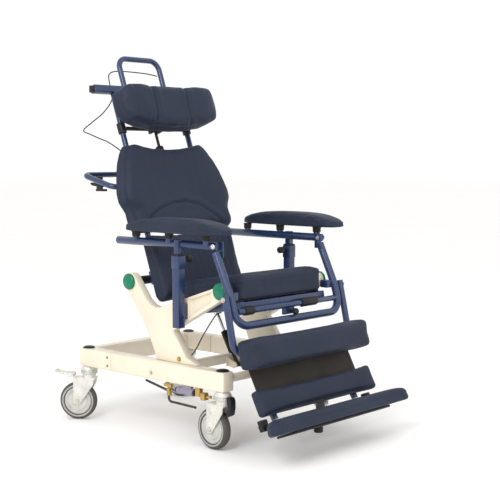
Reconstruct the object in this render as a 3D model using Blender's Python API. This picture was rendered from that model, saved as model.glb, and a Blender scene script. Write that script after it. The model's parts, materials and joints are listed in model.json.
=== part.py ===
"""Reclining patient transfer chair on four castors, as separate jointed pieces.

The design frame has x = 0 on the chair's middle plane, y = 0 midway between the
castor stems and z = 0 on the floor.  The sitter faces -Y, so the sitter's right
is -X.  An empty at the top of the tree moves the design frame to the part's own
origin, which is the middle of its footprint.
"""
from math import cos, pi, radians, sin, tan

import bmesh
import bpy
from mathutils import Matrix, Vector

# ---- driving dimensions, in metres -------------------------------------------
BASE_MID_Y = 0.0915          # base middle, measured from the part's origin
GAP = 0.0003                 # gap left between touching pieces

STEM_X, STEM_Y = 0.236, 0.311        # castor stems
WHEEL_R, WHEEL_WIDTH = 0.0635, 0.030
TRAIL = 0.038                        # castor offset from stem to axle
RAIL_IN, RAIL_OUT = 0.212, 0.260     # side rail, inner and outer face
RAIL_LOW, RAIL_TOP = 0.184, 0.244
BASE_END_Y = 0.335
REAR_SEAM_Y = 0.176                  # rear frame is bolted to the side rails here

V_IN, V_OUT = 0.205, 0.2345          # V frame plates
REAR_PIVOT = (0.105, 0.484)          # backrest axis (y, z)
FRONT_PIVOT = (-0.300, 0.484)        # seat axis (y, z)
CAP_R, CAP_DEEP = 0.026, 0.013

SLEEVE = (0.2625, -0.150)            # armrest sleeve centre (x, y)
SLEEVE_HALF, POST_HALF = 0.014, 0.0098
ARM_RAIL_X, ARM_RAIL_Z = 0.2485, 0.6200
TUBE_R = 0.0125                      # 25 mm frame tube
SLIM_R = 0.0095                      # 19 mm frame tube

HOOP_X = 0.2485
LEG_PIVOT = (-0.360, 0.468)
LEG_X = 0.2745
LEG_NEAR_X = 0.1950                  # the legs turn inward behind the calf pad
LEG_R = 0.0108
LEG_KNEE = (-0.386, 0.354)           # tube axis behind the top of the calf pad
LEG_BEND = (-0.408, 0.262)           # tube axis where the lower leg turns forward
LEG_END = (-0.4845, 0.1175)
FOOT_PIVOT = (-0.4890, 0.1060)

BACK_ORIGIN = (0.057, 0.484)         # on the uprights' axis, level with the pivot
BACK_LEAN = radians(19.5)
UPRIGHT_X = 0.150
HEAD_BAR_UP = 0.526
CROSSBAR_UP = 0.662

STRUT_FOOT = (-0.153, 0.213)
STRUT_HEAD = (-0.060, 0.376)
LEVER_PIVOT = (-0.2150, 0.262, 0.7935)

CREAM = (0.80, 0.73, 0.60)
BLUE = (0.035, 0.055, 0.150)
NAVY = (0.030, 0.038, 0.062)
BLACK = (0.010, 0.010, 0.011)
GREEN = (0.010, 0.230, 0.130)
ZINC = (0.62, 0.60, 0.57)
GREY = (0.40, 0.40, 0.38)
CHROME = (0.75, 0.75, 0.76)

SIDES = (("right", -1), ("left", 1))


# ---- scene, materials and empties --------------------------------------------
def clear_scene():
    for old in list(bpy.data.objects):
        bpy.data.objects.remove(old, do_unlink=True)


MATERIALS = {}


def material(name, color, roughness, metallic=0.0):
    if name not in MATERIALS:
        mat = bpy.data.materials.new(name)
        mat.use_nodes = True
        shader = mat.node_tree.nodes["Principled BSDF"]
        shader.inputs["Base Color"].default_value = (*color, 1.0)
        shader.inputs["Roughness"].default_value = roughness
        shader.inputs["Metallic"].default_value = metallic
        MATERIALS[name] = mat
    return MATERIALS[name]


def cream():
    return material("cream_enamel", CREAM, 0.35)


def blue():
    return material("blue_enamel", BLUE, 0.30)


def navy():
    return material("navy_vinyl", NAVY, 0.55)


def black():
    return material("black_plastic", BLACK, 0.45)


def green():
    return material("green_plastic", GREEN, 0.30)


def zinc():
    return material("zinc_steel", ZINC, 0.35, 0.8)


def grey():
    return material("grey_tread", GREY, 0.60)


def chrome():
    return material("chrome_steel", CHROME, 0.12, 1.0)


def cable_rubber():
    return material("cable_rubber", BLACK, 0.50)


PIVOTS = {}


def pivot(name, at, parent="frame"):
    """An empty on a joint's axis; at is its place in the design frame."""
    empty = bpy.data.objects.new(name + "_axis", None)
    bpy.context.collection.objects.link(empty)
    place = Vector(at)
    if parent is None:
        empty.location = place
        PIVOTS[name] = (empty, Vector((0.0, 0.0, 0.0)))
        return
    parent_empty, parent_at = PIVOTS[parent]
    empty.parent = parent_empty
    empty.location = place - parent_at
    PIVOTS[name] = (empty, place)


def put(name, mesh, mat, on="frame", angle=35):
    """Give a mesh, drawn in the design frame, to the empty that it moves with."""
    empty, at = PIVOTS[on]
    mesh.name = name
    mesh.transform(Matrix.Translation(-at))
    mesh.shade_smooth()
    mesh.set_sharp_from_angle(angle=radians(angle))
    mesh.materials.clear()
    mesh.materials.append(mat)
    obj = bpy.data.objects.new(name, mesh)
    bpy.context.collection.objects.link(obj)
    obj.parent = empty
    return obj


# ---- mesh makers, all in the design frame --------------------------------------
def to_mesh(bm, name="piece"):
    bmesh.ops.recalc_face_normals(bm, faces=bm.faces)
    if bm.calc_volume(signed=True) < 0.0:
        bmesh.ops.reverse_faces(bm, faces=bm.faces)
    mesh = bpy.data.meshes.new(name)
    bm.to_mesh(mesh)
    bm.free()
    return mesh


def rounded(mesh, width, segments=2, limit=40):
    """Bevel the mesh's sharp edges."""
    if not width:
        return mesh
    holder = bpy.data.objects.new("holder", mesh)
    bpy.context.collection.objects.link(holder)
    bevel = holder.modifiers.new("bevel", "BEVEL")
    bevel.width = width
    bevel.segments = segments
    bevel.limit_method = "ANGLE"
    bevel.angle_limit = radians(limit)
    return baked(holder)


def baked(holder):
    """Turn an object with its modifiers into a plain mesh and remove the object."""
    bpy.context.view_layer.update()
    graph = bpy.context.evaluated_depsgraph_get()
    mesh = bpy.data.meshes.new_from_object(holder.evaluated_get(graph))
    bpy.data.objects.remove(holder, do_unlink=True)
    return mesh


def combined(first, others, operation):
    """Boolean union or difference of closed meshes."""
    for other in others:
        holder = bpy.data.objects.new("holder", first)
        tool = bpy.data.objects.new("tool", other)
        bpy.context.collection.objects.link(holder)
        bpy.context.collection.objects.link(tool)
        boolean = holder.modifiers.new("boolean", "BOOLEAN")
        boolean.operation = operation
        boolean.object = tool
        first = baked(holder)
        bpy.data.objects.remove(tool, do_unlink=True)
    return first


def union(first, *others):
    return combined(first, others, "UNION")


def cut(first, *others):
    return combined(first, others, "DIFFERENCE")


def flat(point):
    """Design-frame placing of a (x, y, z) point: used where no frame is turned."""
    return Vector(point)


def prism(outline, low, high, place=None, bevel=0.0, segments=2, limit=40):
    """Extrude an outline of (a, b) points from low to high along the first axis.

    place turns (across, a, b) into a point; by default across is x, a is y, b is z.
    """
    place = place or flat
    bm = bmesh.new()
    rings = [[bm.verts.new(place((x, a, b))) for a, b in outline] for x in (low, high)]
    bm.faces.new(rings[0])
    bm.faces.new(list(reversed(rings[1])))
    count = len(outline)
    for i in range(count):
        j = (i + 1) % count
        bm.faces.new((rings[0][j], rings[0][i], rings[1][i], rings[1][j]))
    return rounded(to_mesh(bm), bevel, segments, limit)


def box(low, high, bevel=0.0, segments=2, place=None):
    outline = [(low[1], low[2]), (high[1], low[2]), (high[1], high[2]), (low[1], high[2])]
    return prism(outline, low[0], high[0], place, bevel, segments)


def arc(center, radius, start, end, steps):
    """Points of an arc in degrees, both ends included."""
    points = []
    for i in range(steps + 1):
        angle = radians(start + (end - start) * i / steps)
        points.append((center[0] + radius * cos(angle), center[1] + radius * sin(angle)))
    return points


def rod(start, end, radius, sides=16, bevel=0.0):
    """A round bar between two points."""
    start, end = Vector(start), Vector(end)
    bm = bmesh.new()
    bmesh.ops.create_cone(bm, cap_ends=True, segments=sides, radius1=radius,
                          radius2=radius, depth=(end - start).length)
    turn = (end - start).to_track_quat("Z", "Y").to_matrix().to_4x4()
    bm.transform(Matrix.Translation((start + end) / 2) @ turn)
    return rounded(to_mesh(bm), bevel, 2, 60)


def rounded_path(points, radius, steps=6):
    """A polyline whose inner corners are replaced by arcs of the given radius."""
    points = [Vector(p) for p in points]
    path = [points[0]]
    for before, corner, after in zip(points, points[1:], points[2:]):
        back = (before - corner).normalized()
        ahead = (after - corner).normalized()
        half = back.angle(ahead) / 2
        reach = radius / tan(half)
        middle = (back + ahead).normalized() * (radius / sin(half))
        center = corner + middle
        first = (corner + back * reach - center).normalized()
        last = (corner + ahead * reach - center).normalized()
        for i in range(steps + 1):
            path.append(center + first.slerp(last, i / steps) * radius)
    path.append(points[-1])
    return path


def tube_object(name, points, radius, resolution):
    curve = bpy.data.curves.new(name, "CURVE")
    curve.dimensions = "3D"
    curve.bevel_depth = radius
    curve.bevel_resolution = resolution
    curve.use_fill_caps = True
    spline = curve.splines.new("POLY")
    spline.points.add(len(points) - 1)
    for point, place in zip(spline.points, points):
        point.co = (*place, 1.0)
    obj = bpy.data.objects.new(name, curve)
    bpy.context.collection.objects.link(obj)
    return obj


def tube(points, radius, bend=0.0, resolution=2, steps=6):
    """A bent round tube, as a closed mesh."""
    path = rounded_path(points, bend, steps) if bend else [Vector(p) for p in points]
    mesh = baked(tube_object("tube", path, radius, resolution))
    bm = bmesh.new()
    bm.from_mesh(mesh)
    bmesh.ops.remove_doubles(bm, verts=bm.verts, dist=0.00001)
    return to_mesh(bm)


def smooth_route(points, count):
    """count points along a Catmull-Rom curve through the route's own points."""
    pts = [Vector(p) for p in points]
    pts = [2 * pts[0] - pts[1]] + pts + [2 * pts[-1] - pts[-2]]
    dense = []
    for a, b, c, d in zip(pts, pts[1:], pts[2:], pts[3:]):
        for i in range(40):
            t = i / 40
            dense.append(0.5 * (2 * b + (c - a) * t + (2 * a - 5 * b + 4 * c - d) * t ** 2
                                + (3 * b - a - 3 * c + d) * t ** 3))
    dense.append(pts[-2])
    spans = [(q - p).length for p, q in zip(dense, dense[1:])]
    step = sum(spans) / (count - 1)
    route, run, target = [dense[0]], 0.0, step
    for p, q, span in zip(dense, dense[1:], spans):
        while run + span >= target - 1e-9 and len(route) < count - 1:
            route.append(p.lerp(q, (target - run) / span))
            target += step
        run += span
    route.append(dense[-1])
    return route


def cable(name, points, radius, on="frame"):
    """A cable along a smooth route, one curve object in a node of its own."""
    empty, at = PIVOTS[on]
    length = sum((Vector(q) - Vector(p)).length for p, q in zip(points, points[1:]))
    count = min(78, max(8, int(length / (radius * 6))))
    route = [p - at for p in smooth_route(points, count)]
    obj = tube_object(name, route, radius, 2)
    obj.data.materials.append(cable_rubber())
    obj.parent = empty
    return obj


def turned(profile, place, steps=32):
    """Spin an (offset along axis, radius) profile about its axis.

    place turns (across, a, b) into a point, with the axis along across.
    """
    bm = bmesh.new()
    rings = []
    for offset, radius in profile:
        ring = [bm.verts.new(place((offset, radius * cos(2 * pi * i / steps),
                                    radius * sin(2 * pi * i / steps)))) for i in range(steps)]
        rings.append(ring)
    for lower, upper in zip(rings, rings[1:]):
        for i in range(steps):
            j = (i + 1) % steps
            bm.faces.new((lower[i], lower[j], upper[j], upper[i]))
    bm.faces.new(list(reversed(rings[0])))
    bm.faces.new(rings[-1])
    return to_mesh(bm)


def back_point(point):
    """(across, up the back, forward of the uprights) in the design frame."""
    across, up, ahead = point
    y = BACK_ORIGIN[0] + up * sin(BACK_LEAN) - ahead * cos(BACK_LEAN)
    z = BACK_ORIGIN[1] + up * cos(BACK_LEAN) + ahead * sin(BACK_LEAN)
    return Vector((across, y, z))


def along(start, end):
    """Placing for (across, down the line, forward of it) between two (y, z) points."""
    down = (Vector(end) - Vector(start)).normalized()

    def place(point):
        across, run, ahead = point
        y = start[0] + down.x * run + down.y * ahead
        z = start[1] + down.y * run - down.x * ahead
        return Vector((across, y, z))

    return place


# ---- base frame ---------------------------------------------------------------
def build_side_rails():
    for side, sign in SIDES:
        low = (min(sign * RAIL_IN, sign * RAIL_OUT), -BASE_END_Y, RAIL_LOW)
        high = (max(sign * RAIL_IN, sign * RAIL_OUT), REAR_SEAM_Y - GAP, RAIL_TOP)
        put("side_rail_" + side, box(low, high, 0.005), cream())


def build_rear_frame():
    """The rear cross piece with its two short arms, bolted to the side rails."""
    outer = [(-RAIL_OUT, REAR_SEAM_Y), (-RAIL_IN, REAR_SEAM_Y), (-RAIL_IN, 0.289),
             (RAIL_IN, 0.289), (RAIL_IN, REAR_SEAM_Y), (RAIL_OUT, REAR_SEAM_Y),
             (RAIL_OUT, BASE_END_Y), (-RAIL_OUT, BASE_END_Y)]
    lying = prism(outer, RAIL_LOW, RAIL_TOP, lambda p: Vector((p[1], p[2], p[0])), 0.005)
    put("rear_frame", lying, cream())


def build_cross_tubes():
    reach = RAIL_IN - GAP
    put("front_cross_tube", rod((-reach, -0.316, 0.220), (reach, -0.316, 0.220), 0.0130),
        cream())
    middle = box((-reach, -0.124, 0.214), (reach, -0.096, 0.2425), 0.004)
    put("middle_cross_tube", middle, cream())


def v_outline():
    """The V frame's outline, from the foot round both arms."""
    front = arc(FRONT_PIVOT, 0.0235, 250, 95, 8)
    rear = arc(REAR_PIVOT, 0.0280, 143, -37, 9)
    return ([(-0.199, RAIL_TOP + GAP), (-0.188, 0.252), (-0.151, 0.266), (-0.115, 0.318),
             (-0.096, 0.344), (-0.149, 0.374), (-0.283, 0.445)] + front
            + [(-0.275, 0.4925), (-0.040, 0.414), (-0.018, 0.410), (0.004, 0.416), (0.027, 0.431)]
            + rear + [(0.051, 0.373), (0.014, 0.315), (-0.009, 0.269), (-0.018, RAIL_TOP + GAP)])


def build_v_frames():
    """Box-section V plates that carry both pivots, with a pocket in the front arm."""
    for side, sign in SIDES:
        plate = prism(v_outline(), sign * V_IN, sign * V_OUT, None, 0.003, 2, 50)
        pocket_outline = [(-0.166, 0.395), (-0.166, 0.448), (-0.262, 0.4795), (-0.262, 0.4465)]
        pocket = prism(pocket_outline, sign * (V_OUT - 0.010), sign * (V_OUT + 0.010))
        shell = cut(plate, pocket)
        for y, z in (REAR_PIVOT, FRONT_PIVOT):
            bore = rod((sign * (V_IN - 0.01), y, z), (sign * (V_OUT + 0.01), y, z), 0.0083)
            shell = cut(shell, bore)
        put("v_frame_" + side, shell, cream())


def build_pivot_caps():
    """Domed green caps with a stub that closes the pivot bore."""
    for end, (y, z) in (("rear", REAR_PIVOT), ("front", FRONT_PIVOT)):
        for side, sign in SIDES:
            def place(p, y=y, z=z, sign=sign):
                return Vector((sign * p[0], y + p[1], z + p[2]))
            face = V_OUT + GAP
            profile = [(V_IN + 0.004, 0.0080), (face, 0.0080), (face, CAP_R),
                       (face + 0.006, CAP_R), (face + 0.0105, CAP_R - 0.005),
                       (face + CAP_DEEP, 0.012)]
            put("pivot_cap_%s_%s" % (end, side), turned(profile, place, 20), green())


def build_strut_clevis():
    """Two-eared lug on the front of the middle cross tube."""
    y0 = -0.124 - GAP
    back = box((-0.024, y0 - 0.005, 0.206), (0.024, y0, 0.240))
    y, z = STRUT_FOOT
    ears = []
    for sign in (-1, 1):
        outline = [(y0 - 0.003, 0.207), (y0 - 0.003, 0.236)] + arc((y, z), 0.011, 70, 280, 7)
        ears.append(prism(outline, sign * 0.0125, sign * 0.0185))
    put("strut_clevis", union(back, *ears), cream())


def build_armrest_sleeves():
    for side, sign in SIDES:
        x, y = sign * SLEEVE[0], SLEEVE[1]
        half = SLEEVE_HALF
        body = box((x - half, y - half, 0.362), (x + half, y + half, 0.585), 0.002)
        near, far = sorted((sign * (V_OUT + GAP), x))
        lug = box((near, y - 0.012, 0.388), (far, y + 0.012, 0.436), 0.001)
        bore = POST_HALF + 0.0006
        hole = box((x - bore, y - bore, 0.350), (x + bore, y + bore, 0.600))
        put("armrest_sleeve_" + side, cut(union(body, lug), hole), blue())


def build_front_hoop():
    """One bent tube: up from the U under the seat to both armrest rails."""
    route = [(-HOOP_X, -0.2948, 0.6010), (-HOOP_X, -0.3560, 0.470), (-HOOP_X, -0.3800, 0.385),
             (HOOP_X, -0.3800, 0.385), (HOOP_X, -0.3560, 0.470), (HOOP_X, -0.2948, 0.6010)]
    path = [Vector(route[0])] + rounded_path(route[1:5], 0.052, 7) + [Vector(route[5])]
    hoop = tube(path, TUBE_R, 0.0, 3)
    for sign in (-1, 1):
        low, high = sorted((sign * 0.2130, sign * 0.2420))
        lug = box((low, -0.3540, 0.4600), (high, -0.3275, 0.4840))
        low, high = sorted((sign * 0.2135, sign * 0.2340))
        tongue = box((low, -0.3500, 0.4610), (high, -0.3238, 0.4830))
        hoop = union(hoop, lug, tongue)
    put("front_hoop", hoop, blue())


def build_hoop_crossbar():
    """Bar between the hoop's legs, with the bracket for the leg release."""
    reach = HOOP_X - TUBE_R - 0.0042
    bar = rod((-reach, -0.3680, 0.4275), (reach, -0.3680, 0.4275), 0.0095)
    plate = box((-0.026, -0.3725, 0.3985), (0.026, -0.3635, 0.4275), 0.0015)
    put("hoop_crossbar", union(bar, plate), blue())


def build_lock_linkage():
    """Castor lock under the right rail: a long rod and its damper."""
    x = -0.225
    put("lock_rod", tube([(x, 0.0400, 0.1680), (x, -0.0650, 0.1480), (x, -0.0650, 0.1150),
                          (x, -0.1850, 0.1120)], 0.0040, 0.012, 2, 4), zinc())
    damper = rod((-0.246, -0.2000, 0.1640), (-0.246, -0.1300, 0.1640), 0.0120, 18)
    lug = box((-0.252, -0.1900, 0.1640), (-0.240, -0.1500, RAIL_LOW - GAP), 0.001)
    put("lock_damper", union(damper, lug), zinc())


# ---- castors --------------------------------------------------------------------
CASTORS = (("rear_right", -1, 1, (-0.55, 0.835)), ("rear_left", 1, 1, (-0.20, 0.98)),
           ("front_right", -1, -1, (0.06, 0.998)), ("front_left", 1, -1, (0.80, 0.60)))


def castor_frame(name, side, end, trail):
    """Stem point, and a placing for (across the wheel, along the trail, up)."""
    stem = Vector((side * STEM_X, end * STEM_Y, 0.0))
    back = Vector((trail[0], trail[1], 0.0)).normalized()
    across = Vector((back.y, -back.x, 0.0))

    def place(point):
        return stem + across * point[0] + back * point[1] + Vector((0.0, 0.0, point[2]))

    return stem, place


def fork_mesh(place):
    """Swivel head and two cranked legs around the wheel."""
    head = turned([(0.1408, 0.0210), (0.1560, 0.0230), (0.1580, 0.0270), (0.1740, 0.0270),
                   (RAIL_LOW - 0.0006, 0.0200)], lambda p: place((p[1], p[2], p[0])), 18)
    fork = union(box((-0.0200, -0.0230, 0.1390), (0.0200, TRAIL + 0.0120, 0.1440), 0.0, 2, place),
                 head)
    for sign in (-1, 1):
        outline = [(-0.0215, 0.1430), (-0.0180, 0.1200)]
        outline += arc((TRAIL, WHEEL_R), 0.0130, 215, 355, 5)
        outline += [(TRAIL + 0.0135, 0.1430)]
        fork = union(fork, prism(outline, sign * 0.0178, sign * 0.0208, place))
    axle = rod(place((-0.0248, TRAIL, WHEEL_R)), place((0.0248, TRAIL, WHEEL_R)), 0.0050, 12)
    return union(fork, axle)


def wheel_mesh(place):
    """Tyre and hub turned in one, with a bore for the axle."""
    half = WHEEL_WIDTH / 2
    outer = [(half - 0.0085, WHEEL_R), (half - 0.0030, 0.0605), (half, 0.0500), (half, 0.0180),
             (half + 0.0015, 0.0160)]
    inner = [(-offset, radius) for offset, radius in reversed(outer)]

    def spot(p):
        return place((p[0], TRAIL + p[1], WHEEL_R + p[2]))

    wheel = turned(inner + outer, spot, 28)
    bore = rod(place((-0.05, TRAIL, WHEEL_R)), place((0.05, TRAIL, WHEEL_R)), 0.0055, 12)
    return cut(wheel, bore)


def build_castors():
    for name, side, end, trail in CASTORS:
        stem, place = castor_frame(name, side, end, trail)
        pivot("swivel_" + name, (stem.x, stem.y, 0.1500))
        axle = place((0.0, TRAIL, WHEEL_R))
        pivot("wheel_" + name, axle, "swivel_" + name)
        put("castor_fork_" + name, fork_mesh(place), zinc(), "swivel_" + name)
        put("wheel_" + name, wheel_mesh(place), grey(), "wheel_" + name)
        if end > 0:
            build_brake_pedal(name, place)
        else:
            build_castor_lever(name, place)


def build_brake_pedal(name, place):
    """Rocker pedal that stands out over the wheel, behind the fork."""
    pivot("pedal_" + name, place((0.0, TRAIL + 0.022, 0.1500)), "swivel_" + name)
    outline = [(TRAIL + 0.0140, 0.1445), (TRAIL + 0.0140, 0.1560), (TRAIL + 0.0200, 0.1580),
               (0.105, 0.1600), (0.117, 0.1670), (0.119, 0.1640), (0.109, 0.1555),
               (TRAIL + 0.0300, 0.1500), (TRAIL + 0.0290, 0.1445)]
    put("brake_pedal_" + name, prism(outline, -0.0200, 0.0200, place, 0.0010), zinc(),
        "pedal_" + name)


def build_castor_lever(name, place):
    """Black foot lever of the direction lock, at the leading side of the swivel."""
    pivot("pedal_" + name, place((0.0, -0.0310, 0.1640)), "swivel_" + name)
    outline = [(-0.0280, 0.1700), (-0.0280, 0.1560), (-0.0330, 0.1380), (-0.0255, 0.1160),
               (-0.0300, 0.1100), (-0.0410, 0.1170), (-0.0460, 0.1380), (-0.0450, 0.1620),
               (-0.0390, 0.1700)]
    put("castor_lever_" + name, prism(outline, -0.0110, 0.0110, place, 0.0015), black(),
        "pedal_" + name)


# ---- seat and its strut ----------------------------------------------------------
SEAT_LINE = along((-0.352, 0.455), (-0.052, 0.408))


def build_seat():
    pivot("seat", (0.0, *FRONT_PIVOT))
    rails = []
    for sign in (-1, 1):
        low, high = sorted((sign * 0.1795, sign * 0.2020))
        rail = box((low, 0.004, -0.0255), (high, 0.300, -0.0015), 0.0, 2, seat_point)
        ear_outline = arc(FRONT_PIVOT, 0.0200, 200, -20, 10) + [(-0.272, 0.428), (-0.330, 0.437)]
        low, high = sorted((sign * 0.1975, sign * 0.2030))
        rails.append(union(rail, prism(ear_outline, low, high)))
    front = box((-0.2005, 0.0020, -0.0300), (0.2005, 0.0240, -0.0040), 0.0, 2, seat_point)
    rear = box((-0.1900, 0.2700, -0.0240), (0.1900, 0.2940, -0.0030), 0.0, 2, seat_point)
    center = box((-0.1900, 0.1420, -0.0240), (0.1900, 0.1640, -0.0030), 0.0, 2, seat_point)
    put("seat_frame", union(rails[0], rails[1], front, rear, center), blue(), "seat")
    outline = [(-0.362, 0.537), (-0.352, 0.456), (-0.053, 0.409), (-0.053, 0.482)]
    put("seat_cushion", prism(outline, -0.196, 0.196, None, 0.010), navy(), "seat")


def seat_point(point):
    """(across, back along the seat's underside, up from it)."""
    across, run, up = point
    return SEAT_LINE((across, run, -up))


def build_strut():
    """Lift strut between the cross tube and the seat frame, open at its top eye."""
    foot, head = Vector((0.0, *STRUT_FOOT)), Vector((0.0, *STRUT_HEAD))
    line = (head - foot).normalized()
    pivot("strut", foot)
    pivot("strut_rod", foot, "strut")
    eye = rod(foot - Vector((0.0115, 0, 0)), foot + Vector((0.0115, 0, 0)), 0.0085)
    neck = rod(foot + line * 0.003, foot + line * 0.047, 0.0060, 12)
    body = rod(foot + line * 0.044, foot + line * 0.118, 0.0125)
    bore = rod(foot + line * 0.052, foot + line * 0.130, 0.0056)
    put("strut_cylinder", cut(union(eye, neck, body), bore), black(), "strut")
    stem = rod(foot + line * 0.060, head, 0.0050)
    knuckle = rod(head - Vector((0.009, 0, 0)), head + Vector((0.009, 0, 0)), 0.0080)
    put("strut_rod", union(stem, knuckle), chrome(), "strut_rod")


# ---- backrest ----------------------------------------------------------------------
def build_back_frame():
    pivot("back", (0.0, *REAR_PIVOT))
    parts = []
    for sign in (-1, 1):
        x = sign * UPRIGHT_X
        parts.append(rod(back_point((x, -0.060, 0.0)),
                         back_point((x, CROSSBAR_UP - TUBE_R - GAP, 0.0)), SLIM_R, 20))
        lug = box((x - 0.008, -0.006, -0.0308), (x + 0.008, 0.038, 0.0), 0.001, 2, back_point)
        parts.append(lug)
    for up in (-0.030, 0.200, 0.400):
        parts.append(rod(back_point((-UPRIGHT_X, up, 0.0)), back_point((UPRIGHT_X, up, 0.0)),
                         0.0085, 16))
    parts.append(rod(back_point((0.0, 0.352, 0.0)), back_point((0.0, 0.452, 0.0)), 0.0092, 16))
    bore = rod(back_point((0.0, 0.340, 0.0)), back_point((0.0, 0.470, 0.0)), 0.0056, 16)
    put("back_frame", cut(union(*parts), bore), blue(), "back")
    shaft = rod((-V_IN + GAP, *REAR_PIVOT), (V_IN - GAP, *REAR_PIVOT), 0.0140, 24)
    put("back_shaft", shaft, black(), "back")


def back_outline():
    """Barrel outline of the backrest: (across, up)."""
    half = [(0.0, 0.452), (0.080, 0.456), (0.160, 0.468), (0.188, 0.462), (0.206, 0.440),
            (0.229, 0.400), (0.246, 0.352), (0.262, 0.296), (0.2625, 0.262), (0.245, 0.226),
            (0.2445, 0.186), (0.237, 0.160), (0.215, 0.150)]
    return half + [(-x, up) for x, up in reversed(half[1:])]


def build_back_cushions():
    main = prism(back_outline(), 0.0105, 0.0510, lambda p: back_point((p[1], p[2], p[0])), 0.008)
    put("back_cushion", main, navy(), "back")
    side = [(-0.084, 0.022), (-0.060, 0.0105), (0.149, 0.0105), (0.149, 0.060), (-0.070, 0.060),
            (-0.084, 0.046)]
    lower = prism(side, -0.199, 0.199, back_point, 0.006)
    put("lower_back_cushion", lower, navy(), "back")


def build_push_bar():
    """U-shaped bar behind the back, with its ends turned in to the uprights."""
    x, front_y, front_z = 0.2350, 0.1800, 0.7870
    inner = UPRIGHT_X + SLIM_R + 0.0010
    route = [(-inner, front_y, front_z), (-x, front_y, front_z), (-x, 0.3300, 0.8250),
             (x, 0.3300, 0.8250), (x, front_y, front_z), (inner, front_y, front_z)]
    put("push_bar", tube(route, SLIM_R, 0.026, 3, 5), blue(), "back")


def build_recline_lever():
    """Squeeze lever under the right end of the push bar, on its own bracket."""
    x, y, z = LEVER_PIVOT
    bracket = box((-0.2252, 0.2480, 0.7760), (-0.2209, 0.2760, 0.8200))
    block = box((-0.2250, 0.2440, 0.7720), (-0.2060, 0.2800, 0.7790))
    put("lever_bracket", union(bracket, block), black(), "back")
    pivot("lever", LEVER_PIVOT, "back")
    outline = [(0.2520, 0.7860), (0.2740, 0.7860), (0.3060, 0.7900), (0.3160, 0.7960),
               (0.3100, 0.8000), (0.2720, 0.7980), (0.2520, 0.7980)]
    put("recline_lever", prism(outline, x - 0.0055, x + 0.0055, None, 0.0015), black(), "lever")


def build_head_frame():
    """Square crossbar with the push loop, on top of the uprights."""
    half = 0.0125
    bar = box((-0.235, CROSSBAR_UP - half, -half), (0.235, CROSSBAR_UP + half, half), 0.002, 2,
              back_point)
    put("head_crossbar", bar, blue(), "back")
    low, high, x = CROSSBAR_UP + half + GAP, 0.7800, 0.0920
    corners = [(-x, low, 0.0), (-x, high, 0.0), (x, high, 0.0), (x, low, 0.0)]
    loop = tube([back_point(c) for c in corners], SLIM_R, 0.036, 3, 6)
    put("push_loop", loop, blue(), "back")


def build_headrest():
    pivot("head_slide", back_point((0.0, HEAD_BAR_UP, 0.0)), "back")
    pivot("headrest", back_point((0.0, HEAD_BAR_UP, 0.0)), "head_slide")
    bar = rod(back_point((-UPRIGHT_X, HEAD_BAR_UP, 0.0)),
              back_point((UPRIGHT_X, HEAD_BAR_UP, 0.0)), 0.0070, 16)
    stem = rod(back_point((0.0, 0.400, 0.0)), back_point((0.0, HEAD_BAR_UP, 0.0)), 0.0050, 16)
    slide = union(bar, stem)
    for sign in (-1, 1):
        x = sign * UPRIGHT_X
        slide = union(slide, rod(back_point((x, HEAD_BAR_UP - 0.017, 0.0)),
                                 back_point((x, HEAD_BAR_UP + 0.017, 0.0)), 0.0145, 20))
    for sign in (-1, 1):
        x = sign * UPRIGHT_X
        slide = cut(slide, rod(back_point((x, 0.45, 0.0)), back_point((x, 0.60, 0.0)),
                               SLIM_R + 0.0003, 20))
    put("headrest_bar", slide, black(), "head_slide")
    bracket = box((-0.0220, HEAD_BAR_UP + 0.0090, -0.0130), (0.0220, HEAD_BAR_UP + 0.0220, 0.0450),
                  0.0, 2, back_point)
    for sign in (-1, 1):
        low, high = sorted((sign * 0.0120, sign * 0.0215))
        cheek = box((low, HEAD_BAR_UP - 0.0140, -0.0125), (high, HEAD_BAR_UP + 0.0200, 0.0160),
                    0.0, 2, back_point)
        bracket = union(bracket, cheek)
    plate = box((-0.070, HEAD_BAR_UP - 0.002, 0.0440), (0.070, 0.620, 0.0490), 0.0, 2, back_point)
    bracket = union(bracket, plate)
    bore = rod(back_point((-0.04, HEAD_BAR_UP, 0.0)), back_point((0.04, HEAD_BAR_UP, 0.0)),
               0.0073, 16)
    put("headrest_bracket", cut(bracket, bore), black(), "headrest")
    half = [(0.0, 0.488), (0.080, 0.492), (0.150, 0.503), (0.196, 0.520), (0.217, 0.545),
            (0.222, 0.580), (0.216, 0.620), (0.196, 0.642), (0.120, 0.652), (0.0, 0.652)]
    outline = half + [(-x, up) for x, up in reversed(half[1:-1])]
    pad = prism(outline, 0.0495, 0.1250, lambda p: back_point((p[1], p[2], p[0])), 0.012)
    put("headrest_cushion", pad, navy(), "headrest")


# ---- armrests -------------------------------------------------------------------------
def arm_pad_outline(sign):
    """Plan outline of an arm pad: wide and round in front, slim behind."""
    inner = [(0.272, 0.064), (0.259, 0.060), (0.247, 0.046), (0.236, 0.020), (0.222, -0.080),
             (0.216, -0.200), (0.217, -0.290), (0.224, -0.340), (0.244, -0.368)]
    outer = [(0.292, -0.368), (0.312, -0.340), (0.321, -0.290), (0.322, -0.200), (0.318, -0.080),
             (0.310, 0.020), (0.305, 0.046), (0.298, 0.060), (0.288, 0.064)]
    return [(sign * x, y) for x, y in inner + outer]


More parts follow.
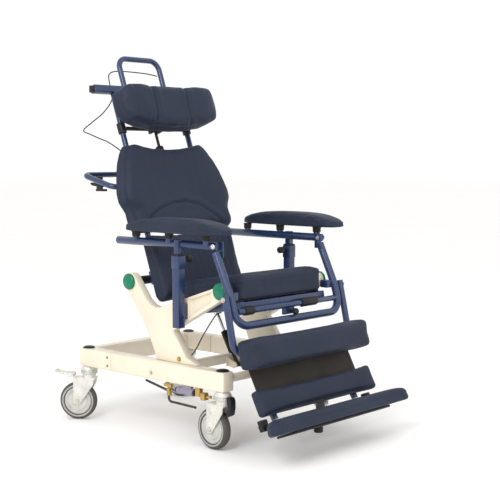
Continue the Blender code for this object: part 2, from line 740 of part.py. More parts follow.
def build_armrests():
    for side, sign in SIDES:
        x, y = sign * SLEEVE[0], SLEEVE[1]
        pivot("arm_" + side, (x, y, 0.585))
        rail = rod((sign * (ARM_RAIL_X + 0.014), 0.124, ARM_RAIL_Z),
                   (sign * ARM_RAIL_X, -0.302, ARM_RAIL_Z), TUBE_R, 20)
        post = box((x - POST_HALF, y - POST_HALF, 0.400), (x + POST_HALF, y + POST_HALF, 0.634),
                   0.001)
        supports = []
        for place_y in (0.040, -0.110, -0.270):
            supports.append(rod((x, place_y, 0.622), (x, place_y, 0.6545), 0.0110, 16))
        put("armrest_frame_" + side, union(rail, post, *supports), blue(), "arm_" + side)
        pad = prism(arm_pad_outline(sign), 0.6550, 0.6980, lambda p: Vector((p[1], p[2], p[0])),
                    0.010)
        put("arm_pad_" + side, pad, navy(), "arm_" + side)
        build_arm_knob(side, sign, x, y)


def build_arm_knob(side, sign, x, y):
    """Spring plunger through the inner wall of the sleeve's collar."""
    face = x - sign * (SLEEVE_HALF + GAP)
    pivot("knob_" + side, (face, y, 0.5720))

    def place(p):
        return Vector((face - sign * p[0], y + p[1], 0.5720 + p[2]))

    profile = [(0.0, 0.0050), (0.020, 0.0050), (0.0215, 0.0105), (0.036, 0.0110), (0.040, 0.0080)]
    put("arm_knob_" + side, turned(profile, place, 20), black(), "knob_" + side)


# ---- legrest --------------------------------------------------------------------------
CALF_LINE = along(LEG_KNEE, LEG_BEND)
SHIN_LINE = along(LEG_BEND, LEG_END)


def build_leg_frame():
    pivot("leg", (0.0, *LEG_PIVOT))
    parts = []
    for sign in (-1, 1):
        x, near = sign * LEG_X, sign * LEG_NEAR_X
        route = [(x, LEG_PIVOT[0] + 0.003, LEG_PIVOT[1] + 0.013), (x, *LEG_KNEE),
                 tuple(CALF_LINE((x, 0.030, 0.0))), tuple(CALF_LINE((near, 0.074, -0.012))),
                 tuple(SHIN_LINE((near, 0.030, -0.0130))), tuple(SHIN_LINE((near, 0.100, -0.0080))),
                 (near, *LEG_END)]
        path = [Vector(route[0])] + rounded_path(route, 0.026, 4)[1:]
        parts.append(tube(path, LEG_R, 0.0, 3))
    parts.append(rod(CALF_LINE((-LEG_X, 0.030, 0.0)), CALF_LINE((LEG_X, 0.030, 0.0)), 0.0090, 16))
    parts.append(rod(SHIN_LINE((-LEG_NEAR_X, 0.115, 0.0)), SHIN_LINE((LEG_NEAR_X, 0.115, 0.0)),
                     0.0090, 16))
    put("leg_frame", union(*parts), blue(), "leg")


def build_leg_pads():
    calf = box((-0.2835, 0.006, 0.0125), (0.2835, 0.100, 0.0860), 0.012, 2, CALF_LINE)
    put("calf_pad", calf, navy(), "leg")
    shin = box((-0.2800, 0.0700, 0.0125), (0.2800, 0.1560, 0.0450), 0.008, 2, SHIN_LINE)
    put("shin_pad", shin, navy(), "leg")
    sling = box((-0.2400, -0.0140, 0.0056), (0.2400, 0.0920, 0.0110), 0.0, 2, SHIN_LINE)
    put("leg_sling", sling, black(), "leg")


FOOT_LINE = along((-0.4934, 0.1200), (-0.6000, 0.1630))


def build_foot():
    """Foot pad on its plate, hinged at the heel to the leg tubes' lower ends."""
    pivot("foot", (0.0, *FOOT_PIVOT), "leg")
    half = [(0.258, 0.0060), (0.270, 0.0040), (0.302, 0.0480), (0.3304, 0.0760), (0.3366, 0.0900),
            (0.3304, 0.1040), (0.310, 0.1132)]
    outline = half + [(-x, run) for x, run in reversed(half)]
    pad = prism(outline, -0.0480, -0.0060, lambda p: foot_point((p[1], p[2], p[0])), 0.012, 3)
    put("foot_pad", pad, navy(), "foot")
    plate = box((-0.2300, 0.0080, -0.0560), (0.2300, 0.0900, -0.0485), 0.002, 2, foot_point)
    put("foot_plate", plate, black(), "foot")


def foot_point(point):
    """(across, heel to toe, up from the foot pad's upper face)."""
    across, run, up = point
    return FOOT_LINE((across, run, up))


# ---- cables ----------------------------------------------------------------------------
def build_cables():
    cable("release_cable", [(-0.190, -0.262, 0.4125), (-0.192, -0.240, 0.4020),
                            (-0.192, -0.190, 0.3400), (-0.192, -0.140, 0.2700),
                            (-0.192, -0.100, 0.2560), (-0.192, -0.060, 0.2900),
                            (-0.192, -0.040, 0.3300)], 0.0020)
    loop = [(0.0875, 0.7300, -0.0125), (0.0500, 0.7430, -0.0270), (-0.0300, 0.7470, -0.0300),
            (-0.0900, 0.7440, -0.0280), (-0.1220, 0.7300, -0.0280), (-0.1320, 0.6970, -0.0240),
            (-0.1410, 0.6400, -0.0200), (-0.1650, 0.6020, -0.0500), (-0.1850, 0.5830, -0.0950),
            (-0.2000, 0.5670, -0.1320), (-0.1970, 0.5450, -0.1080), (-0.1920, 0.5150, -0.0700),
            (-0.1880, 0.4920, -0.0400), (-0.1740, 0.4650, -0.0200), (-0.1520, 0.4400, -0.0125)]
    cable("recline_cable", [back_point(p) for p in loop], 0.0020, "back")


# ---- the whole chair ---------------------------------------------------------------------
def main():
    clear_scene()
    pivot("frame", (0.0, BASE_MID_Y, 0.0), None)
    build_side_rails()
    build_rear_frame()
    build_cross_tubes()
    build_v_frames()
    build_pivot_caps()
    build_strut_clevis()
    build_armrest_sleeves()
    build_front_hoop()
    build_hoop_crossbar()
    build_lock_linkage()
    build_castors()
    build_seat()
    build_strut()
    build_back_frame()
    build_back_cushions()
    build_push_bar()
    build_recline_lever()
    build_head_frame()
    build_headrest()
    build_armrests()
    build_leg_frame()
    build_leg_pads()
    build_foot()
    build_cables()


main()
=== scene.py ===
"""Looks of a reclining patient transfer chair: upholstery, enamel, castors and small parts."""

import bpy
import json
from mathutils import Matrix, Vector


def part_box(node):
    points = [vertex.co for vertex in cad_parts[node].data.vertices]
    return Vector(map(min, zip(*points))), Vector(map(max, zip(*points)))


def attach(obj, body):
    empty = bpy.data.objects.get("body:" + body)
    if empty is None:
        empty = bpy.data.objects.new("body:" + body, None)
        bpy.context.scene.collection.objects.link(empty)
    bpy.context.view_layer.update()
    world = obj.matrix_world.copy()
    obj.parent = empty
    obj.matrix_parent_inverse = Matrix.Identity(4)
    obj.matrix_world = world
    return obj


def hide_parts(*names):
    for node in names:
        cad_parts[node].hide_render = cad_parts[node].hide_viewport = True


bl_info = {
    "name": "Transfer Chair Looks",
    "version": (1, 0, 0),
    "blender": (4, 5, 0),
    "location": "3D View > Sidebar > Chair",
    "description": "Upholstery, enamel, castors and fittings around the chair's packed frame",
    "category": "Object",
}

import json
import math

import bpy
import numpy as np
from bpy.props import FloatProperty, FloatVectorProperty
from mathutils import Matrix, Vector

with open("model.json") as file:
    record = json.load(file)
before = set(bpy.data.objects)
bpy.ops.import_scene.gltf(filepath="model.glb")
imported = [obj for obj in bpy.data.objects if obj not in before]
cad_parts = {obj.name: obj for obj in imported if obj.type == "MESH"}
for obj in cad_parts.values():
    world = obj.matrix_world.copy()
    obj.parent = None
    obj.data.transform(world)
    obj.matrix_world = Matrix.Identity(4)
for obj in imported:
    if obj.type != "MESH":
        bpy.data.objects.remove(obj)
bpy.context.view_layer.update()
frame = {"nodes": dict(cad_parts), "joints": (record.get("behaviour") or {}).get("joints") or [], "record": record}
JOINTS = {joint["name"]: joint for joint in frame["joints"]}
SIDES = (("right", -1), ("left", 1))
CASTORS = ("rear_right", "rear_left", "front_right", "front_left")

ACROSS = Vector((1.0, 0.0, 0.0))


def joint_place(name):
    """The point in the frame where a joint sits."""
    return Vector(JOINTS[name]["pos_m"])


def frame_at(origin, up, across=ACROSS):
    """A right-handed placing: x across, y up the piece, z out of its front."""
    up = up.normalized()
    front = across.cross(up).normalized()
    side = up.cross(front)
    turn = Matrix((side, up, front)).transposed().to_4x4()
    return Matrix.Translation(origin) @ turn


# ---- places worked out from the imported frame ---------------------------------
BACK_UP = Vector(JOINTS["headrest_height"]["axis"]).normalized()
HEAD_BAR_UP = 0.526
BACK = frame_at(joint_place("headrest_height") - BACK_UP * HEAD_BAR_UP, BACK_UP)
LEG_PIVOT = joint_place("legrest_raise")
KNEE = LEG_PIVOT + Vector((0.0, -0.026, -0.114))
SHIN_BEND = LEG_PIVOT + Vector((0.0, -0.048, -0.206))
ANKLE = joint_place("foot_pad_tilt") + Vector((0.0, 0.0045, 0.0115))
CALF = frame_at(KNEE, KNEE - SHIN_BEND)
SHIN = frame_at(SHIN_BEND, SHIN_BEND - ANKLE)
LEG_X = 0.2745            # leg tubes beside the calf pad
LEG_NEAR_X = 0.195        # leg tubes behind the shin pad
LEG_TUBE_R = 0.0108
HOOP_X = 0.2485
HOOP_TUBE_R = 0.0125
UPRIGHT_X = 0.150
SLIM_TUBE_R = 0.0095      # push bar and push loop
ARM_X = 0.2625
RAIL_FACE_X = 0.2600
LINKAGE_X = -0.225
CABLE_R = 0.0020
SLING_SIZE = (0.480, 0.106)
SLING_THICK = 0.0012
BASE_MID_Y = (joint_place("rear_right_swivel").y + joint_place("front_right_swivel").y) / 2


def spot(x, y, z):
    """A point measured from the middle of the base, on the floor."""
    return Vector((x, y + BASE_MID_Y, z))


FOOT = frame_at(spot(0.0, -0.4934, 0.1200), Vector((0.0, 0.1066, -0.0430)))
SEAT = frame_at(spot(0.0, -0.352, 0.455), Vector((0.0, 0.300, -0.047)))
LEVEL = frame_at(spot(0.0, 0.0, 0.0), Vector((0.0, 1.0, 0.0)))
BODY_OF = {node: body for body, nodes in frame["record"]["behaviour"]["bodies"].items()
           for node in nodes}


# ---- sizes and colours a user may change --------------------------------------
def color_prop(label, what, value):
    return FloatVectorProperty(name=label, description=what, default=value, size=3,
                               min=0.0, max=1.0, subtype="COLOR")


def length_prop(label, what, value):
    return FloatProperty(name=label, description=what, default=value, min=0.0,
                         subtype="DISTANCE", unit="LENGTH")


class ChairColours(bpy.types.PropertyGroup):
    cover: color_prop("Cover", "Woven upholstery cover", (0.021, 0.028, 0.052))
    enamel: color_prop("Cream enamel", "Base frame and V frames", (0.780, 0.700, 0.560))
    tube: color_prop("Blue enamel", "Bent tubes and sleeves", (0.016, 0.034, 0.098))
    moulding: color_prop("Black plastic", "Knobs, levers and brackets", (0.012, 0.012, 0.014))
    cap: color_prop("Green plastic", "Pivot caps", (0.006, 0.160, 0.085))
    fork: color_prop("Castor steel", "Plated castor forks", (0.700, 0.680, 0.630))
    tyre: color_prop("Tyre", "Castor tyres", (0.080, 0.075, 0.070))
    hub: color_prop("Hub", "Castor hub discs", (0.500, 0.500, 0.470))
    mesh: color_prop("Sling", "Mesh sling behind the shins", (0.030, 0.024, 0.018))
    damper: color_prop("Damper", "Lilac-grey damper under the rail", (0.280, 0.250, 0.330))
    brass: color_prop("Brass", "Linkage clevis parts", (0.520, 0.360, 0.120))
    floor: color_prop("Floor", "Studio floor and backdrop", (0.960, 0.955, 0.950))


class ChairSizes(bpy.types.PropertyGroup):
    weave: length_prop("Weave pitch", "Distance between threads of the cover", 0.0015)
    swell: length_prop("Cushion swell", "How far filling pushes a cover out", 0.009)
    seam: length_prop("Seam depth", "Depth of a sewn channel", 0.0045)
    edge: length_prop("Metal edge", "Rounding on the edges of metal parts", 0.0008)
    bolt: length_prop("Bolt head", "Radius of a frame bolt's head", 0.0068)
    tyre: length_prop("Tyre width", "Width of a castor tyre", 0.0300)
    floor: length_prop("Floor size", "Side of the studio floor", 60.0)


def colour(name):
    return (*getattr(bpy.context.scene.chair_colours, name), 1.0)


def size(name):
    return getattr(bpy.context.scene.chair_sizes, name)


# ---- procedural finishes --------------------------------------------------------
def start_finish(name):
    mat = bpy.data.materials.new(name)
    mat.use_nodes = True
    tree = mat.node_tree
    tree.nodes.clear()
    out = tree.nodes.new("ShaderNodeOutputMaterial")
    shader = tree.nodes.new("ShaderNodeBsdfPrincipled")
    tree.links.new(shader.outputs[0], out.inputs[0])
    coords = tree.nodes.new("ShaderNodeTexCoord").outputs["Object"]
    return mat, tree, shader, coords


def noise(tree, vector, scale, detail=4.0, rough=0.55, stretch=None):
    if stretch is not None:
        vector = mapped(tree, vector, None, stretch)
    node = tree.nodes.new("ShaderNodeTexNoise")
    node.inputs["Scale"].default_value = scale
    node.inputs["Detail"].default_value = detail
    node.inputs["Roughness"].default_value = rough
    tree.links.new(vector, node.inputs["Vector"])
    return node.outputs["Fac"]


def mapped(tree, vector, turn=None, stretch=None):
    node = tree.nodes.new("ShaderNodeMapping")
    if turn is not None:
        node.inputs["Rotation"].default_value = turn.to_3x3().inverted().to_euler()
    if stretch is not None:
        node.inputs["Scale"].default_value = stretch
    tree.links.new(vector, node.inputs["Vector"])
    return node.outputs["Vector"]


def ramp(tree, fac, *stops):
    node = tree.nodes.new("ShaderNodeValToRGB")
    ends = node.color_ramp.elements
    for i, (at, value) in enumerate(stops):
        stop = ends[i] if i < 2 else ends.new(at)
        stop.position = at
        stop.color = value if hasattr(value, "__len__") else (value, value, value, 1.0)
    tree.links.new(fac, node.inputs["Fac"])
    return node.outputs["Color"]


def mixed(tree, fac, first, second, blend="MIX"):
    node = tree.nodes.new("ShaderNodeMix")
    node.data_type = "RGBA"
    node.blend_type = blend
    for socket, value in ((node.inputs[0], fac), (node.inputs[6], first), (node.inputs[7], second)):
        if isinstance(value, bpy.types.NodeSocket):
            tree.links.new(value, socket)
        else:
            socket.default_value = value
    return node.outputs[2]


def bump(tree, shader, height, strength, distance):
    node = tree.nodes.new("ShaderNodeBump")
    node.inputs["Strength"].default_value = strength
    node.inputs["Distance"].default_value = distance
    tree.links.new(height, node.inputs["Height"])
    held = shader.inputs["Normal"]
    if held.is_linked:
        tree.links.new(held.links[0].from_socket, node.inputs["Normal"])
    tree.links.new(node.outputs["Normal"], held)


def shaded(base, factor):
    return tuple(min(1.0, part * factor) for part in base[:3]) + (1.0,)


def threads(tree, vector, pitch, direction):
    node = tree.nodes.new("ShaderNodeTexWave")
    node.wave_type = "BANDS"
    node.bands_direction = direction
    node.inputs["Scale"].default_value = math.pi / (10.0 * pitch)
    node.inputs["Distortion"].default_value = 0.6
    node.inputs["Detail"].default_value = 1.0
    node.inputs["Detail Scale"].default_value = 0.5
    tree.links.new(vector, node.inputs["Vector"])
    return node.outputs["Fac"]


def cover_finish(name, turn):
    """Navy woven cover: crossed threads, faded mottling and a soft sheen."""
    mat, tree, shader, coords = start_finish(name)
    base = colour("cover")
    along = mapped(tree, coords, turn)
    warp = threads(tree, along, size("weave"), "X")
    weft = threads(tree, along, size("weave"), "Y")
    rise = threads(tree, along, size("weave"), "Z")
    weave = mixed(tree, 0.5, mixed(tree, 0.5, warp, weft, "MULTIPLY"), rise, "MULTIPLY")
    mottle = ramp(tree, noise(tree, coords, 7.0, 5.0), (0.32, shaded(base, 0.86)),
                  (0.68, shaded(base, 1.16)))
    fleck = ramp(tree, noise(tree, coords, 420.0, 3.0), (0.35, 0.80), (0.65, 1.18))
    tone = mixed(tree, 1.0, mottle, fleck, "MULTIPLY")
    yarn = mixed(tree, ramp(tree, weave, (0.0, 0.40), (1.0, 0.0)), tone, shaded(base, 0.62))
    tree.links.new(yarn, shader.inputs["Base Color"])
    rough = ramp(tree, noise(tree, coords, 14.0, 3.0), (0.3, 0.52), (0.7, 0.66))
    tree.links.new(rough, shader.inputs["Roughness"])
    shader.inputs["Specular IOR Level"].default_value = 0.22
    shader.inputs["Sheen Weight"].default_value = 0.05
    shader.inputs["Sheen Roughness"].default_value = 0.40
    shader.inputs["Sheen Tint"].default_value = (0.55, 0.62, 0.90, 1.0)
    bump(tree, shader, noise(tree, coords, 26.0, 4.0), 0.22, 0.0012)
    bump(tree, shader, weave, 0.35, 0.00025)
    return mat


def enamel_finish(name, base, rough=(0.24, 0.40), wear=1.45):
    """Baked enamel: orange peel, uneven gloss, rubbed edges and faint scuffs."""
    mat, tree, shader, coords = start_finish(name)
    tone = ramp(tree, noise(tree, coords, 6.0, 4.0), (0.30, shaded(base, 0.92)),
                (0.70, shaded(base, 1.06)))
    edge = tree.nodes.new("ShaderNodeNewGeometry").outputs["Pointiness"]
    broken = noise(tree, coords, 70.0, 6.0)
    rub = mixed(tree, 1.0, ramp(tree, edge, (0.56, 0.0), (0.66, 0.55)),
                ramp(tree, broken, (0.42, 0.0), (0.62, 1.0)), "MULTIPLY")
    tone = mixed(tree, rub, tone, shaded(base, wear))
    scuff = ramp(tree, noise(tree, coords, 30.0, 8.0, 0.7, (1.0, 1.0, 5.0)), (0.66, 0.0),
                 (0.74, 0.30))
    tone = mixed(tree, scuff, tone, shaded(base, 0.78))
    tree.links.new(tone, shader.inputs["Base Color"])
    gloss = ramp(tree, noise(tree, coords, 18.0, 4.0), (0.30, rough[0]), (0.72, rough[1]))
    tree.links.new(gloss, shader.inputs["Roughness"])
    shader.inputs["Coat Weight"].default_value = 0.20
    shader.inputs["Coat Roughness"].default_value = 0.14
    bump(tree, shader, noise(tree, coords, 700.0, 2.0), 0.10, 0.0002)
    return mat


def moulded_finish(name, base, rough=(0.38, 0.56), grain=520.0, depth=0.18):
    """Moulded plastic or rubber: fine leather grain, patches of dust, dull patches."""
    mat, tree, shader, coords = start_finish(name)
    tone = ramp(tree, noise(tree, coords, 24.0, 5.0), (0.30, shaded(base, 0.84)),
                (0.72, shaded(base, 1.22)))
    dust = ramp(tree, noise(tree, coords, 90.0, 6.0, 0.7), (0.60, 0.0), (0.78, 0.05))
    tone = mixed(tree, dust, tone, (0.30, 0.29, 0.27, 1.0))
    tree.links.new(tone, shader.inputs["Base Color"])
    gloss = ramp(tree, noise(tree, coords, 40.0, 4.0), (0.30, rough[0]), (0.70, rough[1]))
    tree.links.new(gloss, shader.inputs["Roughness"])
    shader.inputs["Specular IOR Level"].default_value = 0.30
    bump(tree, shader, noise(tree, coords, grain, 2.0), depth, 0.0002)
    return mat


def plated_finish(name, base, metal, rough=(0.24, 0.44)):
    """Plated steel: cloudy zinc, drawn lines and darker water marks."""
    mat, tree, shader, coords = start_finish(name)
    cloud = ramp(tree, noise(tree, coords, 45.0, 6.0, 0.65), (0.30, shaded(base, 0.82)),
                 (0.70, shaded(base, 1.10)))
    mark = ramp(tree, noise(tree, coords, 12.0, 6.0), (0.62, 0.0), (0.80, 0.45))
    tree.links.new(mixed(tree, mark, cloud, shaded(base, 0.60)), shader.inputs["Base Color"])
    gloss = ramp(tree, noise(tree, coords, 60.0, 5.0), (0.30, rough[0]), (0.72, rough[1]))
    tree.links.new(gloss, shader.inputs["Roughness"])
    shader.inputs["Metallic"].default_value = metal
    bump(tree, shader, noise(tree, coords, 260.0, 3.0, 0.6, (1.0, 1.0, 0.15)), 0.08, 0.0002)
    return mat


def sling_finish(name):
    """Open mesh cloth behind the shins, brown-black with a dusty sheen."""
    mat, tree, shader, coords = start_finish(name)
    base = colour("mesh")
    along = mapped(tree, coords, SHIN)
    cells = mixed(tree, 1.0, threads(tree, along, 0.0022, "X"), threads(tree, along, 0.0022, "Y"),
                  "MULTIPLY")
    tone = ramp(tree, cells, (0.05, shaded(base, 0.45)), (0.65, shaded(base, 1.9)))
    patch = ramp(tree, noise(tree, coords, 16.0, 4.0), (0.3, 0.80), (0.7, 1.25))
    tree.links.new(mixed(tree, 1.0, tone, patch, "MULTIPLY"), shader.inputs["Base Color"])
    shader.inputs["Roughness"].default_value = 0.62
    shader.inputs["Specular IOR Level"].default_value = 0.25
    shader.inputs["Sheen Weight"].default_value = 0.10
    shader.inputs["Sheen Roughness"].default_value = 0.45
    bump(tree, shader, cells, 0.5, 0.0004)
    return mat


BRIGHT_ZINC = (0.62, 0.60, 0.57, 1.0)
CHROME = (0.75, 0.75, 0.76, 1.0)
DARK_STEEL = (0.060, 0.056, 0.046, 1.0)
SHEATH_BLACK = (0.030, 0.029, 0.028, 1.0)
MADE_FINISHES = {}


def chair_finishes():
    """What each shared finish is called, how it is made and from which colours."""
    cap, hub = colour("cap"), colour("hub")
    return {
        "cream": (enamel_finish, "cream_orange_peel_enamel", colour("enamel"), (0.28, 0.44), 1.12),
        "blue": (enamel_finish, "blue_tube_enamel", colour("tube"), (0.20, 0.34), 2.6),
        "black": (moulded_finish, "black_grained_plastic", colour("moulding")),
        "green": (moulded_finish, "green_cap_plastic", cap, (0.24, 0.36), 380.0, 0.08),
        # painted highlight: the raised centre of each pivot cap is the cap plastic made a quarter lighter
        "green_painted_highlight": (moulded_finish, "green_cap_centre", shaded(cap, 1.25), (0.24, 0.36),
                        380.0, 0.08),
        "fork": (plated_finish, "cloudy_zinc_plate", colour("fork"), 0.35),
        "zinc": (plated_finish, "bright_zinc_plate", BRIGHT_ZINC, 0.90),
        "chrome": (plated_finish, "polished_chrome", CHROME, 1.0, (0.08, 0.20)),
        "brass": (plated_finish, "yellow_passivated_steel", colour("brass"), 0.85),
        "rod": (plated_finish, "dark_linkage_rod", DARK_STEEL, 0.55),
        "damper": (plated_finish, "lilac_grey_damper", colour("damper"), 0.30, (0.30, 0.46)),
        "tyre": (moulded_finish, "castor_tyre_rubber", colour("tyre"), (0.62, 0.80), 300.0, 0.30),
        "band": (moulded_finish, "castor_tyre_band", shaded(hub, 0.72), (0.55, 0.7), 300.0),
        "hub": (moulded_finish, "castor_hub_nylon", hub, (0.40, 0.55), 420.0, 0.12),
        "cable": (moulded_finish, "cable_sheath", SHEATH_BLACK, (0.42, 0.55), 600.0),
        "sling": (sling_finish, "brown_mesh_cloth"),
    }


def finish(name):
    """The shared finish of that name, made the first time it is asked for."""
    if name not in MADE_FINISHES:
        make, *values = chair_finishes()[name]
        MADE_FINISHES[name] = make(*values)
    return MADE_FINISHES[name]


# ---- tools for pieces -------------------------------------------------------------
def deselect():
    for obj in list(bpy.context.selected_objects):
        obj.select_set(False)


def pick(obj):
    deselect()
    obj.select_set(True)
    bpy.context.view_layer.objects.active = obj


def settle(obj, place=None):
    """Move a piece by place and put the move into its mesh."""
    bpy.context.view_layer.update()
    if place is not None:
        obj.matrix_world = place @ obj.matrix_world
    pick(obj)
    bpy.ops.object.transform_apply(location=True, rotation=True, scale=True)


def apply_modifiers(obj):
    pick(obj)
    for name in [modifier.name for modifier in obj.modifiers]:
        bpy.ops.object.modifier_apply(modifier=name)


def edged(obj, width, segments=2, angle=40):
    """Round the sharp edges of a piece."""
    bevel = obj.modifiers.new("edge", "BEVEL")
    bevel.width = width
    bevel.segments = segments
    bevel.limit_method = "ANGLE"
    bevel.angle_limit = math.radians(angle)
    apply_modifiers(obj)
    return obj


def cleaned(obj, dissolve=False):
    """Merge doubled points, join flat triangles and turn faces outwards."""
    pick(obj)
    bpy.ops.object.mode_set(mode="EDIT")
    bpy.ops.mesh.select_all(action="SELECT")
    bpy.ops.mesh.remove_doubles(threshold=0.00001)
    if dissolve:
        bpy.ops.mesh.dissolve_limited(angle_limit=math.radians(0.8))
    bpy.ops.mesh.normals_make_consistent(inside=False)
    bpy.ops.object.mode_set(mode="OBJECT")
    return obj


def block(low, high, edge=0.001, place=None):
    """A box with rounded edges, from corner to corner in place."""
    low, high = Vector(low), Vector(high)
    deselect()
    bpy.ops.mesh.primitive_cube_add(size=1.0, location=(low + high) / 2, scale=high - low)
    obj = bpy.context.object
    settle(obj, place)
    return edged(obj, edge)


def axis_place(start, end):
    """A placing whose z runs from start to end."""
    turn = (end - start).to_track_quat("Z", "X").to_matrix().to_4x4()
    return Matrix.Translation(start) @ turn


def pin(start, end, radius, edge=0.0008, sides=32):
    """A round bar from start to end, with its ends dished and rounded."""
    length = (end - start).length
    deselect()
    bpy.ops.mesh.primitive_cylinder_add(vertices=sides, radius=radius, depth=length,
                                        location=(0.0, 0.0, length / 2))
    obj = bpy.context.object
    bpy.ops.object.mode_set(mode="EDIT")
    bpy.ops.mesh.select_all(action="DESELECT")
    bpy.ops.object.mode_set(mode="OBJECT")
    for face in obj.data.polygons:
        face.select = abs(face.normal.z) > 0.9
    bpy.ops.object.mode_set(mode="EDIT")
    bpy.ops.mesh.select_mode(type="FACE")
    bpy.ops.mesh.inset(thickness=radius * 0.45, depth=-min(edge, radius * 0.1))
    bpy.ops.object.mode_set(mode="OBJECT")
    settle(obj, axis_place(start, end))
    return edged(obj, edge)


def lathe(profile, place, steps=56):
    """Spin a profile of (radius, along) points round the placing's z."""
    mesh = bpy.data.meshes.new("profile")
    points = [(radius, 0.0, along) for radius, along in profile]
    mesh.from_pydata(points, [(i, i + 1) for i in range(len(points) - 1)], [])
    obj = bpy.data.objects.new("profile", mesh)
    bpy.context.scene.collection.objects.link(obj)
    pick(obj)
    bpy.ops.object.mode_set(mode="EDIT")
    bpy.ops.mesh.select_all(action="SELECT")
    bpy.ops.mesh.spin(steps=steps, angle=2 * math.pi, center=(0.0, 0.0, 0.0), axis=(0.0, 0.0, 1.0))
    bpy.ops.object.mode_set(mode="OBJECT")
    cleaned(obj)
    settle(obj, place)
    return obj


def rounded(points, bend, steps=8):
    """The route with an arc of radius bend at each inner corner."""
    path = [points[0]]
    for before, corner, after in zip(points, points[1:], points[2:]):
        back, ahead = (before - corner).normalized(), (after - corner).normalized()
        half = back.angle(ahead) / 2
        center = corner + (back + ahead).normalized() * (bend / math.sin(half))
        first = corner + back * (bend / math.tan(half)) - center
        last = corner + ahead * (bend / math.tan(half)) - center
        sweep = first.angle(last)
        for i in range(steps + 1):
            part = i / steps
            path.append(center + (first * math.sin((1 - part) * sweep)
                                  + last * math.sin(part * sweep)) / math.sin(sweep))
    return path + [points[-1]]


def smooth_route(points, count):
    """Evenly spaced points on one smooth curve through points."""
    guide = [points[0] * 2 - points[1]] + points + [points[-1] * 2 - points[-2]]
    fine = []
    for a, b, c, d in zip(guide, guide[1:], guide[2:], guide[3:]):
        for i in range(24):
            t = i / 24
            fine.append(0.5 * (2 * b + (c - a) * t + (2 * a - 5 * b + 4 * c - d) * t * t
                               + (3 * b - a - 3 * c + d) * t ** 3))
    fine.append(points[-1])
    reach = [0.0]
    for p, q in zip(fine, fine[1:]):
        reach.append(reach[-1] + (q - p).length)
    even = np.linspace(0.0, reach[-1], count)
    axes = [np.interp(even, reach, [p[i] for p in fine]) for i in range(3)]
    return [Vector(p) for p in zip(*axes)]


def route_tube(points, radius, sides=5):
    """A round tube along points, closed at both ends."""
    data = bpy.data.curves.new("route", "CURVE")
    data.dimensions = "3D"
    data.bevel_depth = radius
    data.bevel_resolution = sides
    data.use_fill_caps = True
    spline = data.splines.new("POLY")
    spline.points.add(len(points) - 1)
    for target, point in zip(spline.points, points):
        target.co = (*point, 1.0)
    obj = bpy.data.objects.new("route", data)
    bpy.context.scene.collection.objects.link(obj)
    pick(obj)
    bpy.ops.object.convert(target="MESH")
    return cleaned(bpy.context.object)


def joined(parts):
    """Several shells as one piece."""
    deselect()
    for part in parts:
        part.select_set(True)
    bpy.context.view_layer.objects.active = parts[0]
    bpy.ops.object.join()
    return bpy.context.object


def finished(obj, name, look, body, stands_for=(), angle=38):
    """Name, smooth, paint and hang a piece on its body."""
    obj.name = name
    obj.data.name = name
    pick(obj)
    bpy.ops.object.shade_smooth_by_angle(angle=math.radians(angle))
    obj.data.materials.clear()
    obj.data.materials.append(look if isinstance(look, bpy.types.Material) else finish(look))
    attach(obj, body)
    if stands_for:
        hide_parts(*stands_for)
    return obj


def refined(node, look, edge=None):
    """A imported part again, with its flat triangles joined and its edges rounded."""
    mesh = frame["nodes"][node].data.copy()
    obj = bpy.data.objects.new(node + "_finished", mesh)
    bpy.context.scene.collection.objects.link(obj)
    cleaned(obj, dissolve=True)
    edged(obj, size("edge") if edge is None else edge, 2, 42)
    return finished(obj, node + "_finished", look, BODY_OF[node], (node,))


def bolt(name, at, outward, body, look="zinc", radius=None, slot="zinc_steel"):
    """A hexagon head on a washer, its face at at, standing outward."""
    radius = size("bolt") if radius is None else radius
    outward = Vector(outward).normalized()
    washer = pin(at, at + outward * 0.0014, radius * 1.30, 0.0004, 28)
    head = pin(at + outward * 0.0014, at + outward * (0.0014 + radius * 0.62), radius, 0.0006, 6)
    return finished(joined([washer, head]), name, look, body, angle=30)


# ---- stuffed covers -----------------------------------------------------------------
COVER_CLOTH = {"quality": 4, "mass": 0.3, "tension_stiffness": 12.0,
               "compression_stiffness": 12.0, "bending_stiffness": 0.6, "use_pressure": True,
               "uniform_pressure_force": 4.0}
FILL_FRAMES = 20


def coords_of(obj):
    flat = np.empty(len(obj.data.vertices) * 3)
    obj.data.vertices.foreach_get("co", flat)
    return flat.reshape(-1, 3)


def set_coords(obj, points):
    obj.data.vertices.foreach_set("co", points.ravel())
    obj.data.update()


def smooth_step(value):
    value = np.clip(value, 0.0, 1.0)
    return value * value * (3.0 - 2.0 * value)


def line_distance(points, line):
    """Distance from each (x, y) to a broken line."""
    best = np.full(len(points), 1.0)
    for start, end in zip(line, line[1:]):
        start, run = np.array(start), np.array(end) - np.array(start)
        part = np.clip((points - start) @ run / (run @ run), 0.0, 1.0)
        best = np.minimum(best, np.linalg.norm(points - start - part[:, None] * run, axis=1))
    return best


def filled(obj, soft, swell):
    """Blow the cover up with cloth pressure; soft is how freely each point may move."""
    start = coords_of(obj).copy()
    fill = obj.modifiers.new("fill", "CLOTH")
    for setting, value in COVER_CLOTH.items():
        setattr(fill.settings, setting, value)
    fill.settings.effector_weights.gravity = 0.0
    fill.point_cache.frame_start = 1
    fill.point_cache.frame_end = FILL_FRAMES
    scene = bpy.context.scene
    scene.frame_start, scene.frame_end = 1, FILL_FRAMES
    for step in range(1, FILL_FRAMES + 1):
        scene.frame_set(step)
    pick(obj)
    bpy.ops.object.modifier_apply(modifier="fill")
    scene.frame_set(1)
    moved = coords_of(obj) - start
    reach = np.linalg.norm(moved, axis=1, keepdims=True) + 1e-9
    moved *= np.tanh(reach / swell) * swell / reach
    set_coords(obj, start + moved * soft[:, None])


